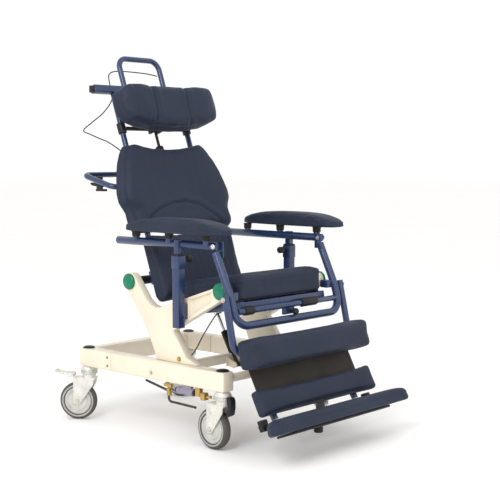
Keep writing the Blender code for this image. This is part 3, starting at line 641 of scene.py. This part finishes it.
def stuffed(node, place, swell=None, voxel=0.006, pull=0.004, shape=None, seams=(), belt=0.5,
            softness=0.55):
    """Upholstered piece in the space of a packed pad; place's z points out of its front."""
    swell = size("swell") if swell is None else swell
    mesh = frame["nodes"][node].data.copy()
    mesh.transform(place.inverted())
    obj = bpy.data.objects.new(node + "_cover", mesh)
    bpy.context.scene.collection.objects.link(obj)
    cleaned(obj)
    remesh = obj.modifiers.new("remesh", "REMESH")
    remesh.mode = "VOXEL"
    remesh.voxel_size = voxel
    apply_modifiers(obj)
    points = coords_of(obj)
    low, high = points.min(0), points.max(0)
    middle, half = (low + high) / 2, (high - low) / 2
    front = (points[:, 2] - low[2]) / (high[2] - low[2])
    points[:, :2] = middle[:2] + (points[:, :2] - middle[:2]) * (1 - pull / half[:2])
    points[:, 2] -= pull * front
    if shape is not None:
        shape(points, front)
    set_coords(obj, points)
    filled(obj, smooth_step(front / softness), swell)
    relax = obj.modifiers.new("relax", "SMOOTH")
    relax.factor = 0.5
    relax.iterations = 4
    finer = obj.modifiers.new("finer", "SUBSURF")
    finer.levels = finer.render_levels = 1
    apply_modifiers(obj)
    points = coords_of(obj)
    low, high = points.min(0), points.max(0)
    front = (points[:, 2] - low[2]) / (high[2] - low[2])
    for line, depth, width in seams:
        away = line_distance(points[:, :2], line)
        valley = np.exp(-(away / width) ** 2)
        shoulder = np.exp(-((away - 3.0 * width) / (1.6 * width)) ** 2)
        cut = valley - 0.30 * shoulder
        points[:, 2] -= depth * cut * smooth_step((front - 0.35) / 0.3)
    if belt is not None:
        center = (low + high) / 2
        ring = np.exp(-((front - belt) * (high[2] - low[2]) / 0.0028) ** 2)
        out = points[:, :2] - center[:2]
        out /= np.abs(out).max(axis=1, keepdims=True) + 1e-9
        points[:, :2] -= out * (0.0012 * ring)[:, None]
    set_coords(obj, points)
    obj.data.transform(place)
    obj.data.update()
    look = cover_finish("navy_cover_" + node, place)
    finished(obj, node + "_cover", look, BODY_OF[node], (node,), 60)


BACK_HALF = ((0.150, 0.215), (0.160, 0.237), (0.186, 0.2445), (0.226, 0.245), (0.262, 0.2625),
             (0.296, 0.262), (0.352, 0.246), (0.400, 0.229), (0.440, 0.206), (0.468, 0.188))


def back_half(up):
    """Half width of the backrest at a height up the back."""
    return np.interp(up, [p[0] for p in BACK_HALF], [p[1] for p in BACK_HALF])


def shape_back(points, front):
    """Chamfered flanks, a shallow hollow between them and a raised lumbar band."""
    flank = (np.abs(points[:, 0]) - back_half(points[:, 1]) + 0.040) / 0.026
    points[:, 2] -= smooth_step(flank) * 0.013 * front
    hollow = np.cos(np.clip(points[:, 0] / 0.200, -1.0, 1.0) * math.pi / 2) ** 2
    points[:, 2] -= 0.005 * hollow * front
    lumbar = np.exp(-((points[:, 1] - 0.165) / 0.050) ** 2)
    points[:, 2] += 0.006 * lumbar * hollow * front


def shape_head(points, front):
    """Side wings stand forward of the middle panel."""
    wing = smooth_step((np.abs(points[:, 0]) - 0.075) / 0.070)
    points[:, 2] += (0.004 * wing - 0.005 * (1 - wing)) * front
    edge = smooth_step((np.abs(points[:, 0]) - 0.185) / 0.030)
    points[:, 2] -= 0.012 * edge * front


def shape_arm(points, front):
    """Flat underside, the top an arc that thins towards both ends."""
    middle = (points[:, 1].max() + points[:, 1].min()) / 2
    run = (points[:, 1] - middle) / ((points[:, 1].max() - points[:, 1].min()) / 2)
    points[:, 2] -= front * (0.024 * np.abs(run) ** 3.0)


def shape_foot(points, front):
    """Rounded ends, a little thinner there."""
    run = np.abs(points[:, 0]) / 0.334
    points[:, 2] -= front * 0.006 * smooth_step((run - 0.90) / 0.10)


class CHAIR_OT_back(bpy.types.Operator):
    """Backrest cushion with its lumbar arch, and the roll below it"""
    bl_idname = "chair.back"
    bl_label = "Backrest cushions"

    def execute(self, context):
        deep = size("seam")
        arch = [(-0.190, 0.176), (-0.170, 0.195), (-0.146, 0.211), (-0.120, 0.224),
                (-0.094, 0.233), (-0.044, 0.245), (0.011, 0.249), (0.063, 0.238),
                (0.085, 0.227), (0.103, 0.215), (0.147, 0.185), (0.160, 0.170)]
        flanks = [[(side * (float(back_half(up)) - 0.029), up) for up in
                   (0.165, 0.19, 0.226, 0.262, 0.296, 0.352, 0.40, 0.44)] for side in (-1, 1)]
        stuffed("back_cushion", BACK, shape=shape_back, belt=0.45,
                seams=[(arch, deep, 0.0048), (flanks[0], 0.0022, 0.0036),
                       (flanks[1], 0.0022, 0.0036)])
        channels = [([(x, -0.080), (x, 0.145)], 0.0030, 0.0045)
                    for x in (-0.133, -0.067, 0.0, 0.067, 0.133)]
        stuffed("lower_back_cushion", BACK, swell=0.008, seams=channels)
        return {"FINISHED"}


class CHAIR_OT_headrest(bpy.types.Operator):
    """Headrest cushion with a sewn middle panel and two wings"""
    bl_idname = "chair.headrest"
    bl_label = "Headrest cushion"

    def execute(self, context):
        deep = size("seam")
        left = [(-0.078, 0.656), (-0.080, 0.640), (-0.084, 0.597), (-0.090, 0.488)]
        right = [(0.076, 0.656), (0.070, 0.610), (0.065, 0.567), (0.065, 0.488)]
        crease = [(-0.167, 0.628), (-0.166, 0.590), (-0.168, 0.541)]
        stuffed("headrest_cushion", BACK, shape=shape_head, belt=0.42,
                seams=[(left, deep * 1.5, 0.0062), (right, deep * 1.5, 0.0062),
                       (crease, 0.0026, 0.0090)])
        return {"FINISHED"}


class CHAIR_OT_seat(bpy.types.Operator):
    """Seat cushion, boxed and crowned"""
    bl_idname = "chair.seat"
    bl_label = "Seat cushion"

    def execute(self, context):
        rear = [(-0.185, 0.285), (0.185, 0.285)]
        stuffed("seat_cushion", SEAT, voxel=0.007, swell=0.010, belt=0.62,
                seams=[(rear, 0.0020, 0.0050)])
        return {"FINISHED"}


class CHAIR_OT_arms(bpy.types.Operator):
    """Armrest pads, arched on top, on three black spacers each"""
    bl_idname = "chair.arms"
    bl_label = "Armrest pads"

    def execute(self, context):
        for side, sign in SIDES:
            stuffed("arm_pad_" + side, LEVEL, voxel=0.005, swell=0.006, pull=0.003,
                    shape=shape_arm, belt=0.22)
            for number, run in enumerate((0.040, -0.110, -0.270), 1):
                at = spot(sign * ARM_X, run, 0.0)
                sleeve = [(0.0112, 0.6360), (0.0128, 0.6360), (0.0136, 0.6400), (0.0136, 0.6490),
                          (0.0146, 0.6500), (0.0146, 0.6540), (0.0112, 0.6540),
                          (0.0112, 0.6360)]
                ring = lathe(sleeve, Matrix.Translation(at), 36)
                finished(ring, "arm_spacer_%s_%d" % (side, number), "black", "arm_" + side)
        return {"FINISHED"}


class CHAIR_OT_legs(bpy.types.Operator):
    """Calf pad, shin pad, foot pad and the mesh sling between them"""
    bl_idname = "chair.legs"
    bl_label = "Legrest pads"

    def execute(self, context):
        stuffed("calf_pad", CALF, swell=0.006, pull=0.003, belt=0.30)
        stuffed("shin_pad", SHIN, voxel=0.005, swell=0.006, pull=0.003, belt=0.30)
        stuffed("foot_pad", FOOT, swell=0.007, pull=0.003, shape=shape_foot, belt=0.45)
        deselect()
        bpy.ops.mesh.primitive_grid_add(x_subdivisions=60, y_subdivisions=12, size=1.0)
        sling = bpy.context.object
        points = coords_of(sling)
        wide, high = SLING_SIZE
        points[:, 0] *= wide
        points[:, 1] = -0.0390 + points[:, 1] * high
        sag = np.cos(points[:, 0] / (wide / 2) * math.pi / 2) * 0.0012
        points[:, 2] = 0.0092 - sag
        set_coords(sling, points)
        wall = sling.modifiers.new("wall", "SOLIDIFY")
        wall.thickness = SLING_THICK
        wall.offset = 0.0
        apply_modifiers(sling)
        settle(sling, SHIN)
        finished(sling, "leg_sling_cloth", "sling", "leg", ("leg_sling",))
        for side, sign in SIDES:
            end = joint_place("foot_pad_tilt")
            place = frame_at(end, Vector((0.0, 0.42, 1.0)))
            near, far = sorted((sign * 0.2380, sign * 0.2640))
            shell = [block((near, -0.014, -0.010), (far, 0.020, 0.010), 0.003, place),
                     pin(place @ Vector((near - 0.002, 0.0, 0.0)),
                         place @ Vector((far + 0.002, 0.0, 0.0)), 0.0085)]
            finished(joined(shell), "foot_hinge_" + side, "black", "leg")
        at = spot(-0.055, -0.535, 0.062)
        buffer = lathe([(0.0, 0.0), (0.0120, 0.0), (0.0140, 0.0020), (0.0140, 0.0160),
                        (0.0110, 0.0200), (0.0110, 0.0240), (0.0, 0.0240)],
                       Matrix.Translation(at), 36)
        finished(buffer, "foot_buffer", "black", "foot")
        return {"FINISHED"}


# ---- frames ------------------------------------------------------------------------
class CHAIR_OT_base(bpy.types.Operator):
    """Cream rails, cross tubes, V frames and their caps and bolts"""
    bl_idname = "chair.base"
    bl_label = "Base frame"

    def execute(self, context):
        for node in ("side_rail_right", "side_rail_left", "rear_frame", "front_cross_tube",
                     "middle_cross_tube", "v_frame_right", "v_frame_left", "strut_clevis"):
            refined(node, "cream", 0.0014)
        for end, joint in (("rear", "back_recline"), ("front", "seat_tilt")):
            for side, sign in SIDES:
                refined("pivot_cap_%s_%s" % (end, side), "green", 0.0006)
                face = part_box("pivot_cap_%s_%s" % (end, side))[1 if sign > 0 else 0]
                at = joint_place(joint)
                at.x = face[0]
                disc = lathe([(0.0, 0.0), (0.0030, 0.0), (0.0042, 0.0003), (0.0046, 0.0007),
                              (0.0036, 0.0012), (0.0, 0.0014)],
                             axis_place(at, at + Vector((sign, 0.0, 0.0))), 40)
                # the centre disc is painted with the lighter copy of the cap plastic, a painted highlight on the
                # dome
                finished(disc, "cap_disc_%s_%s" % (end, side), "green_painted_highlight", "base")
        for side, sign in SIDES:
            bolt("rail_bolt_" + side, spot(sign * RAIL_FACE_X, -0.020, 0.205), (sign, 0, 0), "base",
                 "zinc", 0.0056)
            bolt("v_frame_bolt_" + side, spot(sign * 0.2345, -0.122, 0.258), (sign, 0, 0), "base",
                 "brass", 0.0062)
            for number, z in ((1, 0.200), (2, 0.228)):
                at = spot(sign * RAIL_FACE_X, 0.190, z)
                bolt("seam_screw_%s_%d" % (side, number), at, (sign, 0, 0), "base", "brass",
                     0.0034)
            for end, y in (("rear", 0.311), ("front", -0.311)):
                at = spot(sign * 0.236, y, 0.2441)
                cap = lathe([(0.0, 0.0), (0.0190, 0.0), (0.0205, 0.0010), (0.0190, 0.0034),
                             (0.0130, 0.0058), (0.0, 0.0066)], Matrix.Translation(at), 40)
                finished(cap, "castor_cap_%s_%s" % (end, side), "black", "base")
        return {"FINISHED"}


class CHAIR_OT_tubes(bpy.types.Operator):
    """Blue bent tubes, sleeves and crossbars"""
    bl_idname = "chair.tubes"
    bl_label = "Blue tubes"

    def execute(self, context):
        x = HOOP_X
        route = [spot(-x, -0.2948, 0.6010), spot(-x, -0.3560, 0.470), spot(-x, -0.3800, 0.385),
                 spot(x, -0.3800, 0.385), spot(x, -0.3560, 0.470), spot(x, -0.2948, 0.6010)]
        parts = [route_tube(rounded(route, 0.052), HOOP_TUBE_R)]
        for sign in (-1, 1):
            near, far = sorted((sign * 0.2130, sign * 0.2420))
            parts.append(block(spot(near, -0.3540, 0.4600), spot(far, -0.3275, 0.4840)))
            near, far = sorted((sign * 0.2135, sign * 0.2340))
            parts.append(block(spot(near, -0.3500, 0.4610), spot(far, -0.3238, 0.4830)))
        finished(joined(parts), "front_hoop_tube", "blue", "base", ("front_hoop",))
        inner = UPRIGHT_X + 0.0105
        route = [spot(-inner, 0.18, 0.787), spot(-0.235, 0.18, 0.787), spot(-0.235, 0.33, 0.825),
                 spot(0.235, 0.33, 0.825), spot(0.235, 0.18, 0.787), spot(inner, 0.18, 0.787)]
        finished(route_tube(rounded(route, 0.026), SLIM_TUBE_R), "push_bar_tube", "blue", "back",
                 ("push_bar",))
        route = [BACK @ Vector(p) for p in ((-0.092, 0.6748, 0), (-0.092, 0.780, 0),
                                            (0.092, 0.780, 0), (0.092, 0.6748, 0))]
        finished(route_tube(rounded(route, 0.036), SLIM_TUBE_R), "push_loop_tube", "blue", "back",
                 ("push_loop",))
        parts = []
        for sign in (-1, 1):
            x, near = sign * LEG_X, sign * LEG_NEAR_X
            leg = Vector((x, 0.0, 0.0))
            route = [LEG_PIVOT + Vector((0.0, 0.003, 0.013)) + leg, KNEE + leg,
                     CALF @ Vector((x, -0.030, 0.0)), CALF @ Vector((near, -0.074, -0.012)),
                     SHIN @ Vector((near, -0.030, -0.013)), SHIN @ Vector((near, -0.100, -0.008)),
                     ANKLE + Vector((near, 0.0, 0.0))]
            parts.append(route_tube(rounded(route, 0.026), LEG_TUBE_R))
        for place, run, reach in ((CALF, 0.030, LEG_X), (SHIN, 0.115, LEG_NEAR_X)):
            parts.append(pin(place @ Vector((-reach, -run, 0.0)), place @ Vector((reach, -run, 0.0)),
                             0.0090))
        finished(joined(parts), "leg_frame_finished", "blue", "leg", ("leg_frame",))
        for node in ("hoop_crossbar", "seat_frame", "back_frame", "head_crossbar",
                     "armrest_sleeve_right", "armrest_sleeve_left", "armrest_frame_right",
                     "armrest_frame_left"):
            refined(node, "blue", 0.0010)
        return {"FINISHED"}


class CHAIR_OT_fittings(bpy.types.Operator):
    """Small parts on the tubes: collars, plugs, bolts, knobs and brackets"""
    bl_idname = "chair.fittings"
    bl_label = "Fittings"

    def execute(self, context):
        for node in ("back_shaft", "lever_bracket", "recline_lever", "headrest_bar",
                     "headrest_bracket", "arm_knob_right", "arm_knob_left", "foot_plate",
                     "strut_cylinder"):
            refined(node, "black", 0.0007)
        refined("strut_rod", "chrome", 0.0004)
        for side, sign in SIDES:
            x, y = sign * ARM_X, -0.150
            for name, low, high, look, grow in (("collar", 0.5450, 0.5850, "blue", 0.0016),
                                                ("insert", 0.5851, 0.5905, "black", 0.0006)):
                ring = block(spot(x - 0.014 - grow, y - 0.014 - grow, low),
                             spot(x + 0.014 + grow, y + 0.014 + grow, high), 0.0015)
                hole = block(spot(x - 0.0141, y - 0.0141, low - 0.01),
                             spot(x + 0.0141, y + 0.0141, high + 0.01), 0.0003)
                if name == "insert":
                    hole.data.transform(Matrix.Translation(spot(x, y, 0.0)) @ Matrix.Scale(0.76, 4)
                                        @ Matrix.Translation(-spot(x, y, 0.0)))
                    hole.data.transform(Matrix.Translation((0.0, 0.0, 0.24 * (low + high) / 2)))
                drill = ring.modifiers.new("drill", "BOOLEAN")
                drill.operation = "DIFFERENCE"
                drill.object = hole
                apply_modifiers(ring)
                bpy.data.objects.remove(hole, do_unlink=True)
                finished(ring, "sleeve_%s_%s" % (name, side), look, "base")
            bolt("arm_rail_bolt_" + side, spot(sign * 0.2612, -0.2960, 0.6200), (sign, 0, 0),
                 "arm_" + side, "chrome", 0.0060, "chrome_steel")
            near, far = sorted((sign * 0.2300, sign * 0.2352))
            ear = [block(spot(near, -0.3120, 0.5860), spot(far, -0.2860, 0.6330), 0.0015),
                   pin(spot(sign * 0.2352, -0.2990, 0.5940), spot(sign * 0.2440, -0.2990, 0.5940),
                       0.0070)]
            finished(joined(ear), "hoop_ear_" + side, "blue", "base")
            bolt("hoop_ear_bolt_" + side, spot(sign * 0.2300, -0.2990, 0.6200), (-sign, 0, 0),
                 "base", "zinc", 0.0050)
            end = BACK @ Vector((sign * 0.2351, 0.662, 0.0))
            plug = block((-0.0118, -0.0118, 0.0), (0.0118, 0.0118, 0.0060), 0.0020,
                         Matrix.Translation(end) @ axis_turn(sign))
            finished(plug, "crossbar_plug_" + side, "black", "back")
            leg_top = LEG_PIVOT + Vector((sign * 0.2854, 0.0, 0.0))
            bolt("leg_pivot_bolt_" + side, leg_top, (sign, 0, 0), "leg", "zinc", 0.0060)
        bar = spot(0.0, -0.3680, 0.4275)
        for number, (low, high) in enumerate(((-0.205, -0.165), (0.060, 0.135)), 1):
            grip = lathe([(0.0096, low), (0.0125, low), (0.0135, low + 0.004),
                          (0.0135, high - 0.004), (0.0125, high), (0.0096, high),
                          (0.0096, low)], axis_place(bar, bar + ACROSS), 40)
            finished(grip, "crossbar_grip_%d" % number, "black", "base")
        knob = lathe([(0.0, 0.0), (0.0045, 0.0), (0.0050, 0.0100), (0.0095, 0.0120),
                      (0.0105, 0.0150), (0.0105, 0.0210), (0.0080, 0.0240), (0.0, 0.0250)],
                     axis_place(bar + Vector((0.010, -0.0050, -0.0200)),
                                bar + Vector((0.010, -1.0, -0.0200))), 36)
        finished(knob, "leg_release_knob", "black", "base")
        stem = BACK @ Vector((0.0, 0.4520, 0.0))
        collar = lathe([(0.0095, -0.010), (0.0128, -0.010), (0.0140, -0.006), (0.0140, 0.006),
                        (0.0120, 0.010), (0.0056, 0.010), (0.0056, 0.0004), (0.0095, 0.0004),
                        (0.0095, -0.010)], axis_place(stem, stem + BACK_UP), 40)
        finished(collar, "stem_collar", "black", "back")
        return {"FINISHED"}


def axis_turn(sign):
    """A quarter turn that lays a placing's z along the chair's width."""
    return Vector((sign, 0.0, 0.0)).to_track_quat("Z", "Y").to_matrix().to_4x4()


# ---- castors ------------------------------------------------------------------------
class CHAIR_OT_castors(bpy.types.Operator):
    """Castors: plated forks, turned tyres and hubs, swivel rings, pedals and levers"""
    bl_idname = "chair.castors"
    bl_label = "Castors"

    def execute(self, context):
        half = size("tyre") / 2
        tyre = [(0.0465, half - 0.0010), (0.0500, half), (0.0560, half - 0.0006),
                (0.0605, half - 0.0030), (0.0630, half - 0.0078), (0.0635, 0.0),
                (0.0630, 0.0078 - half), (0.0605, 0.0030 - half), (0.0560, 0.0006 - half),
                (0.0500, -half), (0.0465, 0.0010 - half), (0.0465, half - 0.0010)]
        hub_side = [(0.0462, 0.0115), (0.0440, 0.0132), (0.0385, 0.0136), (0.0370, 0.0112),
                    (0.0335, 0.0112), (0.0320, 0.0138), (0.0200, 0.0146), (0.0185, 0.0160),
                    (0.0060, 0.0162)]
        hub = hub_side + [(radius, -along) for radius, along in reversed(hub_side)] + hub_side[:1]
        for name in CASTORS:
            at = joint_place(name + "_roll")
            axis = Vector(JOINTS[name + "_roll"]["axis"]).normalized()
            place = axis_place(at, at + axis)
            body = "wheel_" + name
            finished(lathe(tyre, place, 72), "tyre_" + name, "tyre", body,
                     ("wheel_" + name,), 50)
            finished(lathe(hub, place, 64), "hub_" + name, "hub", body)
            bands = []
            for sign in (-1, 1):
                lip = [(0.0490, sign * (half - 0.0004)), (0.0500, sign * (half + 0.0006)),
                       (0.0540, sign * (half + 0.0004)), (0.0550, sign * (half - 0.0008)),
                       (0.0490, sign * (half - 0.0004))]
                bands.append(lathe(lip, place, 64))
            finished(joined(bands), "tyre_band_" + name, "band", body)
            refined("castor_fork_" + name, "fork", 0.0007)
            swivel = "swivel_" + name
            nuts = []
            for sign in (-1, 1):
                start = at + axis * sign * 0.0209
                nuts.append(pin(start, start + axis * sign * 0.0046, 0.0082, 0.0006, 6))
            finished(joined(nuts), "axle_nuts_" + name, "zinc", swivel, angle=30)
            stem = joint_place(name + "_swivel")
            rings = []
            radius = 0.0282
            stem_at = Vector((stem.x, stem.y, 0.0))
            for low, high in ((0.1592, 0.1630), (0.1662, 0.1700)):
                rings.append(lathe([(0.0262, low), (radius, low), (radius + 0.0006, low + 0.0012),
                                    (radius, high), (0.0262, high), (0.0262, low)],
                                   Matrix.Translation(stem_at), 48))
            finished(joined(rings), "swivel_rings_" + name, "zinc", swivel)
        for side, _ in SIDES:
            refined("brake_pedal_rear_" + side, "fork", 0.0008)
            refined("castor_lever_front_" + side, "black", 0.0010)
        return {"FINISHED"}


# ---- linkage and cables ---------------------------------------------------------------
class CHAIR_OT_linkage(bpy.types.Operator):
    """Castor lock rod, damper and clevis under the right rail"""
    bl_idname = "chair.linkage"
    bl_label = "Lock linkage"

    def execute(self, context):
        x = LINKAGE_X
        route = [spot(x, 0.0400, 0.1680), spot(x, -0.0650, 0.1480), spot(x, -0.0650, 0.1150),
                 spot(x, -0.1850, 0.1120)]
        finished(route_tube(rounded(route, 0.012), 0.0040, 4), "lock_rod_finished", "rod", "base",
                 ("lock_rod",))
        refined("lock_damper", "damper", 0.0010)
        ends = []
        for y in (-0.2000, -0.1300):
            step = math.copysign(0.0070, y + 0.165)
            ends.append(pin(spot(-0.246, y + step / 20, 0.164),
                            spot(-0.246, y + step, 0.164), 0.0095))
        finished(joined(ends), "damper_ends", "black", "base")
        clevis = []
        for low, high in (((-0.254, -0.2300, 0.1560), (-0.238, -0.2100, 0.1837)),
                          ((-0.256, -0.2520, 0.1480), (-0.236, -0.2340, 0.1700)),
                          ((-0.251, -0.2720, 0.1560), (-0.241, -0.2530, 0.1640)),
                          ((-0.231, -0.0740, 0.1330), (-0.2192, -0.0600, 0.1580)),
                          ((-0.240, -0.0900, 0.1640), (-0.228, -0.0560, 0.1740))):
            clevis.append(block(spot(*low), spot(*high), 0.0015))
        finished(joined(clevis), "linkage_clevises", "brass", "base")
        return {"FINISHED"}


def flexible(node, points, name, body):
    """A sheathed control cable along one smooth curve, out of its first point."""
    path = smooth_route(points, 70)
    obj = route_tube(path, CABLE_R, 3)
    finished(obj, name, "cable", body, (node,), 60)


class CHAIR_OT_cables(bpy.types.Operator):
    """Recline cable behind the headrest and release cable under the seat"""
    bl_idname = "chair.cables"
    bl_label = "Control cables"

    def execute(self, context):
        route = [spot(*p) for p in ((-0.190, -0.262, 0.4125), (-0.192, -0.240, 0.4020),
                                    (-0.192, -0.190, 0.3400), (-0.192, -0.140, 0.2700),
                                    (-0.192, -0.100, 0.2560), (-0.192, -0.060, 0.2900),
                                    (-0.192, -0.040, 0.3300))]
        flexible("release_cable", route, "release_cable_sheath", "base")
        loop = [BACK @ Vector(p) for p in (
            (0.0875, 0.7300, -0.0125), (0.0500, 0.7430, -0.0270), (-0.0300, 0.7470, -0.0300),
            (-0.0900, 0.7440, -0.0280), (-0.1220, 0.7300, -0.0280), (-0.1320, 0.6970, -0.0240),
            (-0.1410, 0.6400, -0.0200), (-0.1650, 0.6020, -0.0500), (-0.1850, 0.5830, -0.0950),
            (-0.2000, 0.5670, -0.1320), (-0.1970, 0.5450, -0.1080), (-0.1920, 0.5150, -0.0700),
            (-0.1880, 0.4920, -0.0400), (-0.1740, 0.4650, -0.0200), (-0.1520, 0.4400, -0.0125))]
        flexible("recline_cable", loop, "recline_cable_sheath", "back")
        return {"FINISHED"}


# ---- stage ------------------------------------------------------------------------------
def lamp(name, at, aim, power, width):
    data = bpy.data.lights.new(name, "AREA")
    data.energy = power
    data.size = width
    obj = bpy.data.objects.new(name, data)
    bpy.context.scene.collection.objects.link(obj)
    obj.location = at
    obj.rotation_euler = (Vector(aim) - Vector(at)).to_track_quat("-Z", "Y").to_euler()


class CHAIR_OT_stage(bpy.types.Operator):
    """Camera, pale floor and soft lamps"""
    bl_idname = "chair.stage"
    bl_label = "Stage"

    def execute(self, context):
        scene = context.scene
        data = bpy.data.cameras.new("camera")
        data.lens, data.sensor_width = 80.49, 36.0
        camera = bpy.data.objects.new("camera", data)
        scene.collection.objects.link(camera)
        camera.location = (-2.6407, -2.5042, 0.8911)
        turn, rise = math.radians(-47.88), math.radians(4.849)
        back = Vector((math.sin(turn) * math.cos(rise), -math.cos(turn) * math.cos(rise),
                       math.sin(rise)))
        camera.rotation_euler = (-back).to_track_quat("-Z", "Y").to_euler()
        scene.camera = camera
        wide = size("floor")
        deselect()
        bpy.ops.mesh.primitive_plane_add(size=wide, location=(0.0, 0.0, -0.0002))
        floor = context.object
        settle(floor)
        floor.name = "studio_floor"
        mat, tree, shader, coords = start_finish("pale_studio_floor")
        base = colour("floor")
        tone = ramp(tree, noise(tree, coords, 1.5, 3.0), (0.3, shaded(base, 0.985)), (0.7, base))
        tree.links.new(tone, shader.inputs["Base Color"])
        shader.inputs["Roughness"].default_value = 0.85
        floor.data.materials.append(mat)
        world = bpy.data.worlds.new("soft_room")
        world.use_nodes = True
        sky = world.node_tree.nodes["Background"]
        sky.inputs["Color"].default_value = (1.0, 0.995, 0.985, 1.0)
        sky.inputs["Strength"].default_value = 1.04
        scene.world = world
        scene.view_settings.view_transform = "Standard"
        lamp("key", (-3.6, -1.2, 3.0), (0.0, 0.0, 0.6), 85.0, 1.8)
        lamp("front", (-0.6, -4.2, 2.4), (0.0, 0.0, 0.5), 25.0, 2.6)
        return {"FINISHED"}


class CHAIR_PT_panel(bpy.types.Panel):
    """Steps of the chair, in the order that they are made"""
    bl_idname = "CHAIR_PT_panel"
    bl_label = "Transfer chair"
    bl_space_type = "VIEW_3D"
    bl_region_type = "UI"
    bl_category = "Chair"

    def draw(self, context):
        for step in STEPS:
            self.layout.operator(step.bl_idname)
        for name in ChairSizes.__annotations__:
            self.layout.prop(context.scene.chair_sizes, name)
        for name in ChairColours.__annotations__:
            self.layout.prop(context.scene.chair_colours, name)


STEPS = (CHAIR_OT_stage, CHAIR_OT_cables, CHAIR_OT_base, CHAIR_OT_tubes, CHAIR_OT_fittings,
         CHAIR_OT_castors, CHAIR_OT_linkage, CHAIR_OT_back, CHAIR_OT_headrest, CHAIR_OT_seat,
         CHAIR_OT_arms, CHAIR_OT_legs)


def register():
    for item in (ChairColours, ChairSizes, CHAIR_PT_panel) + STEPS:
        bpy.utils.register_class(item)
    bpy.types.Scene.chair_colours = bpy.props.PointerProperty(type=ChairColours)
    bpy.types.Scene.chair_sizes = bpy.props.PointerProperty(type=ChairSizes)


def unregister():
    del bpy.types.Scene.chair_colours
    del bpy.types.Scene.chair_sizes
    for item in reversed((ChairColours, ChairSizes, CHAIR_PT_panel) + STEPS):
        bpy.utils.unregister_class(item)


def main():
    register()
    for step in STEPS:
        group, name = step.bl_idname.split(".")
        getattr(getattr(bpy.ops, group), name)()


if __name__ == "__main__":
    main()
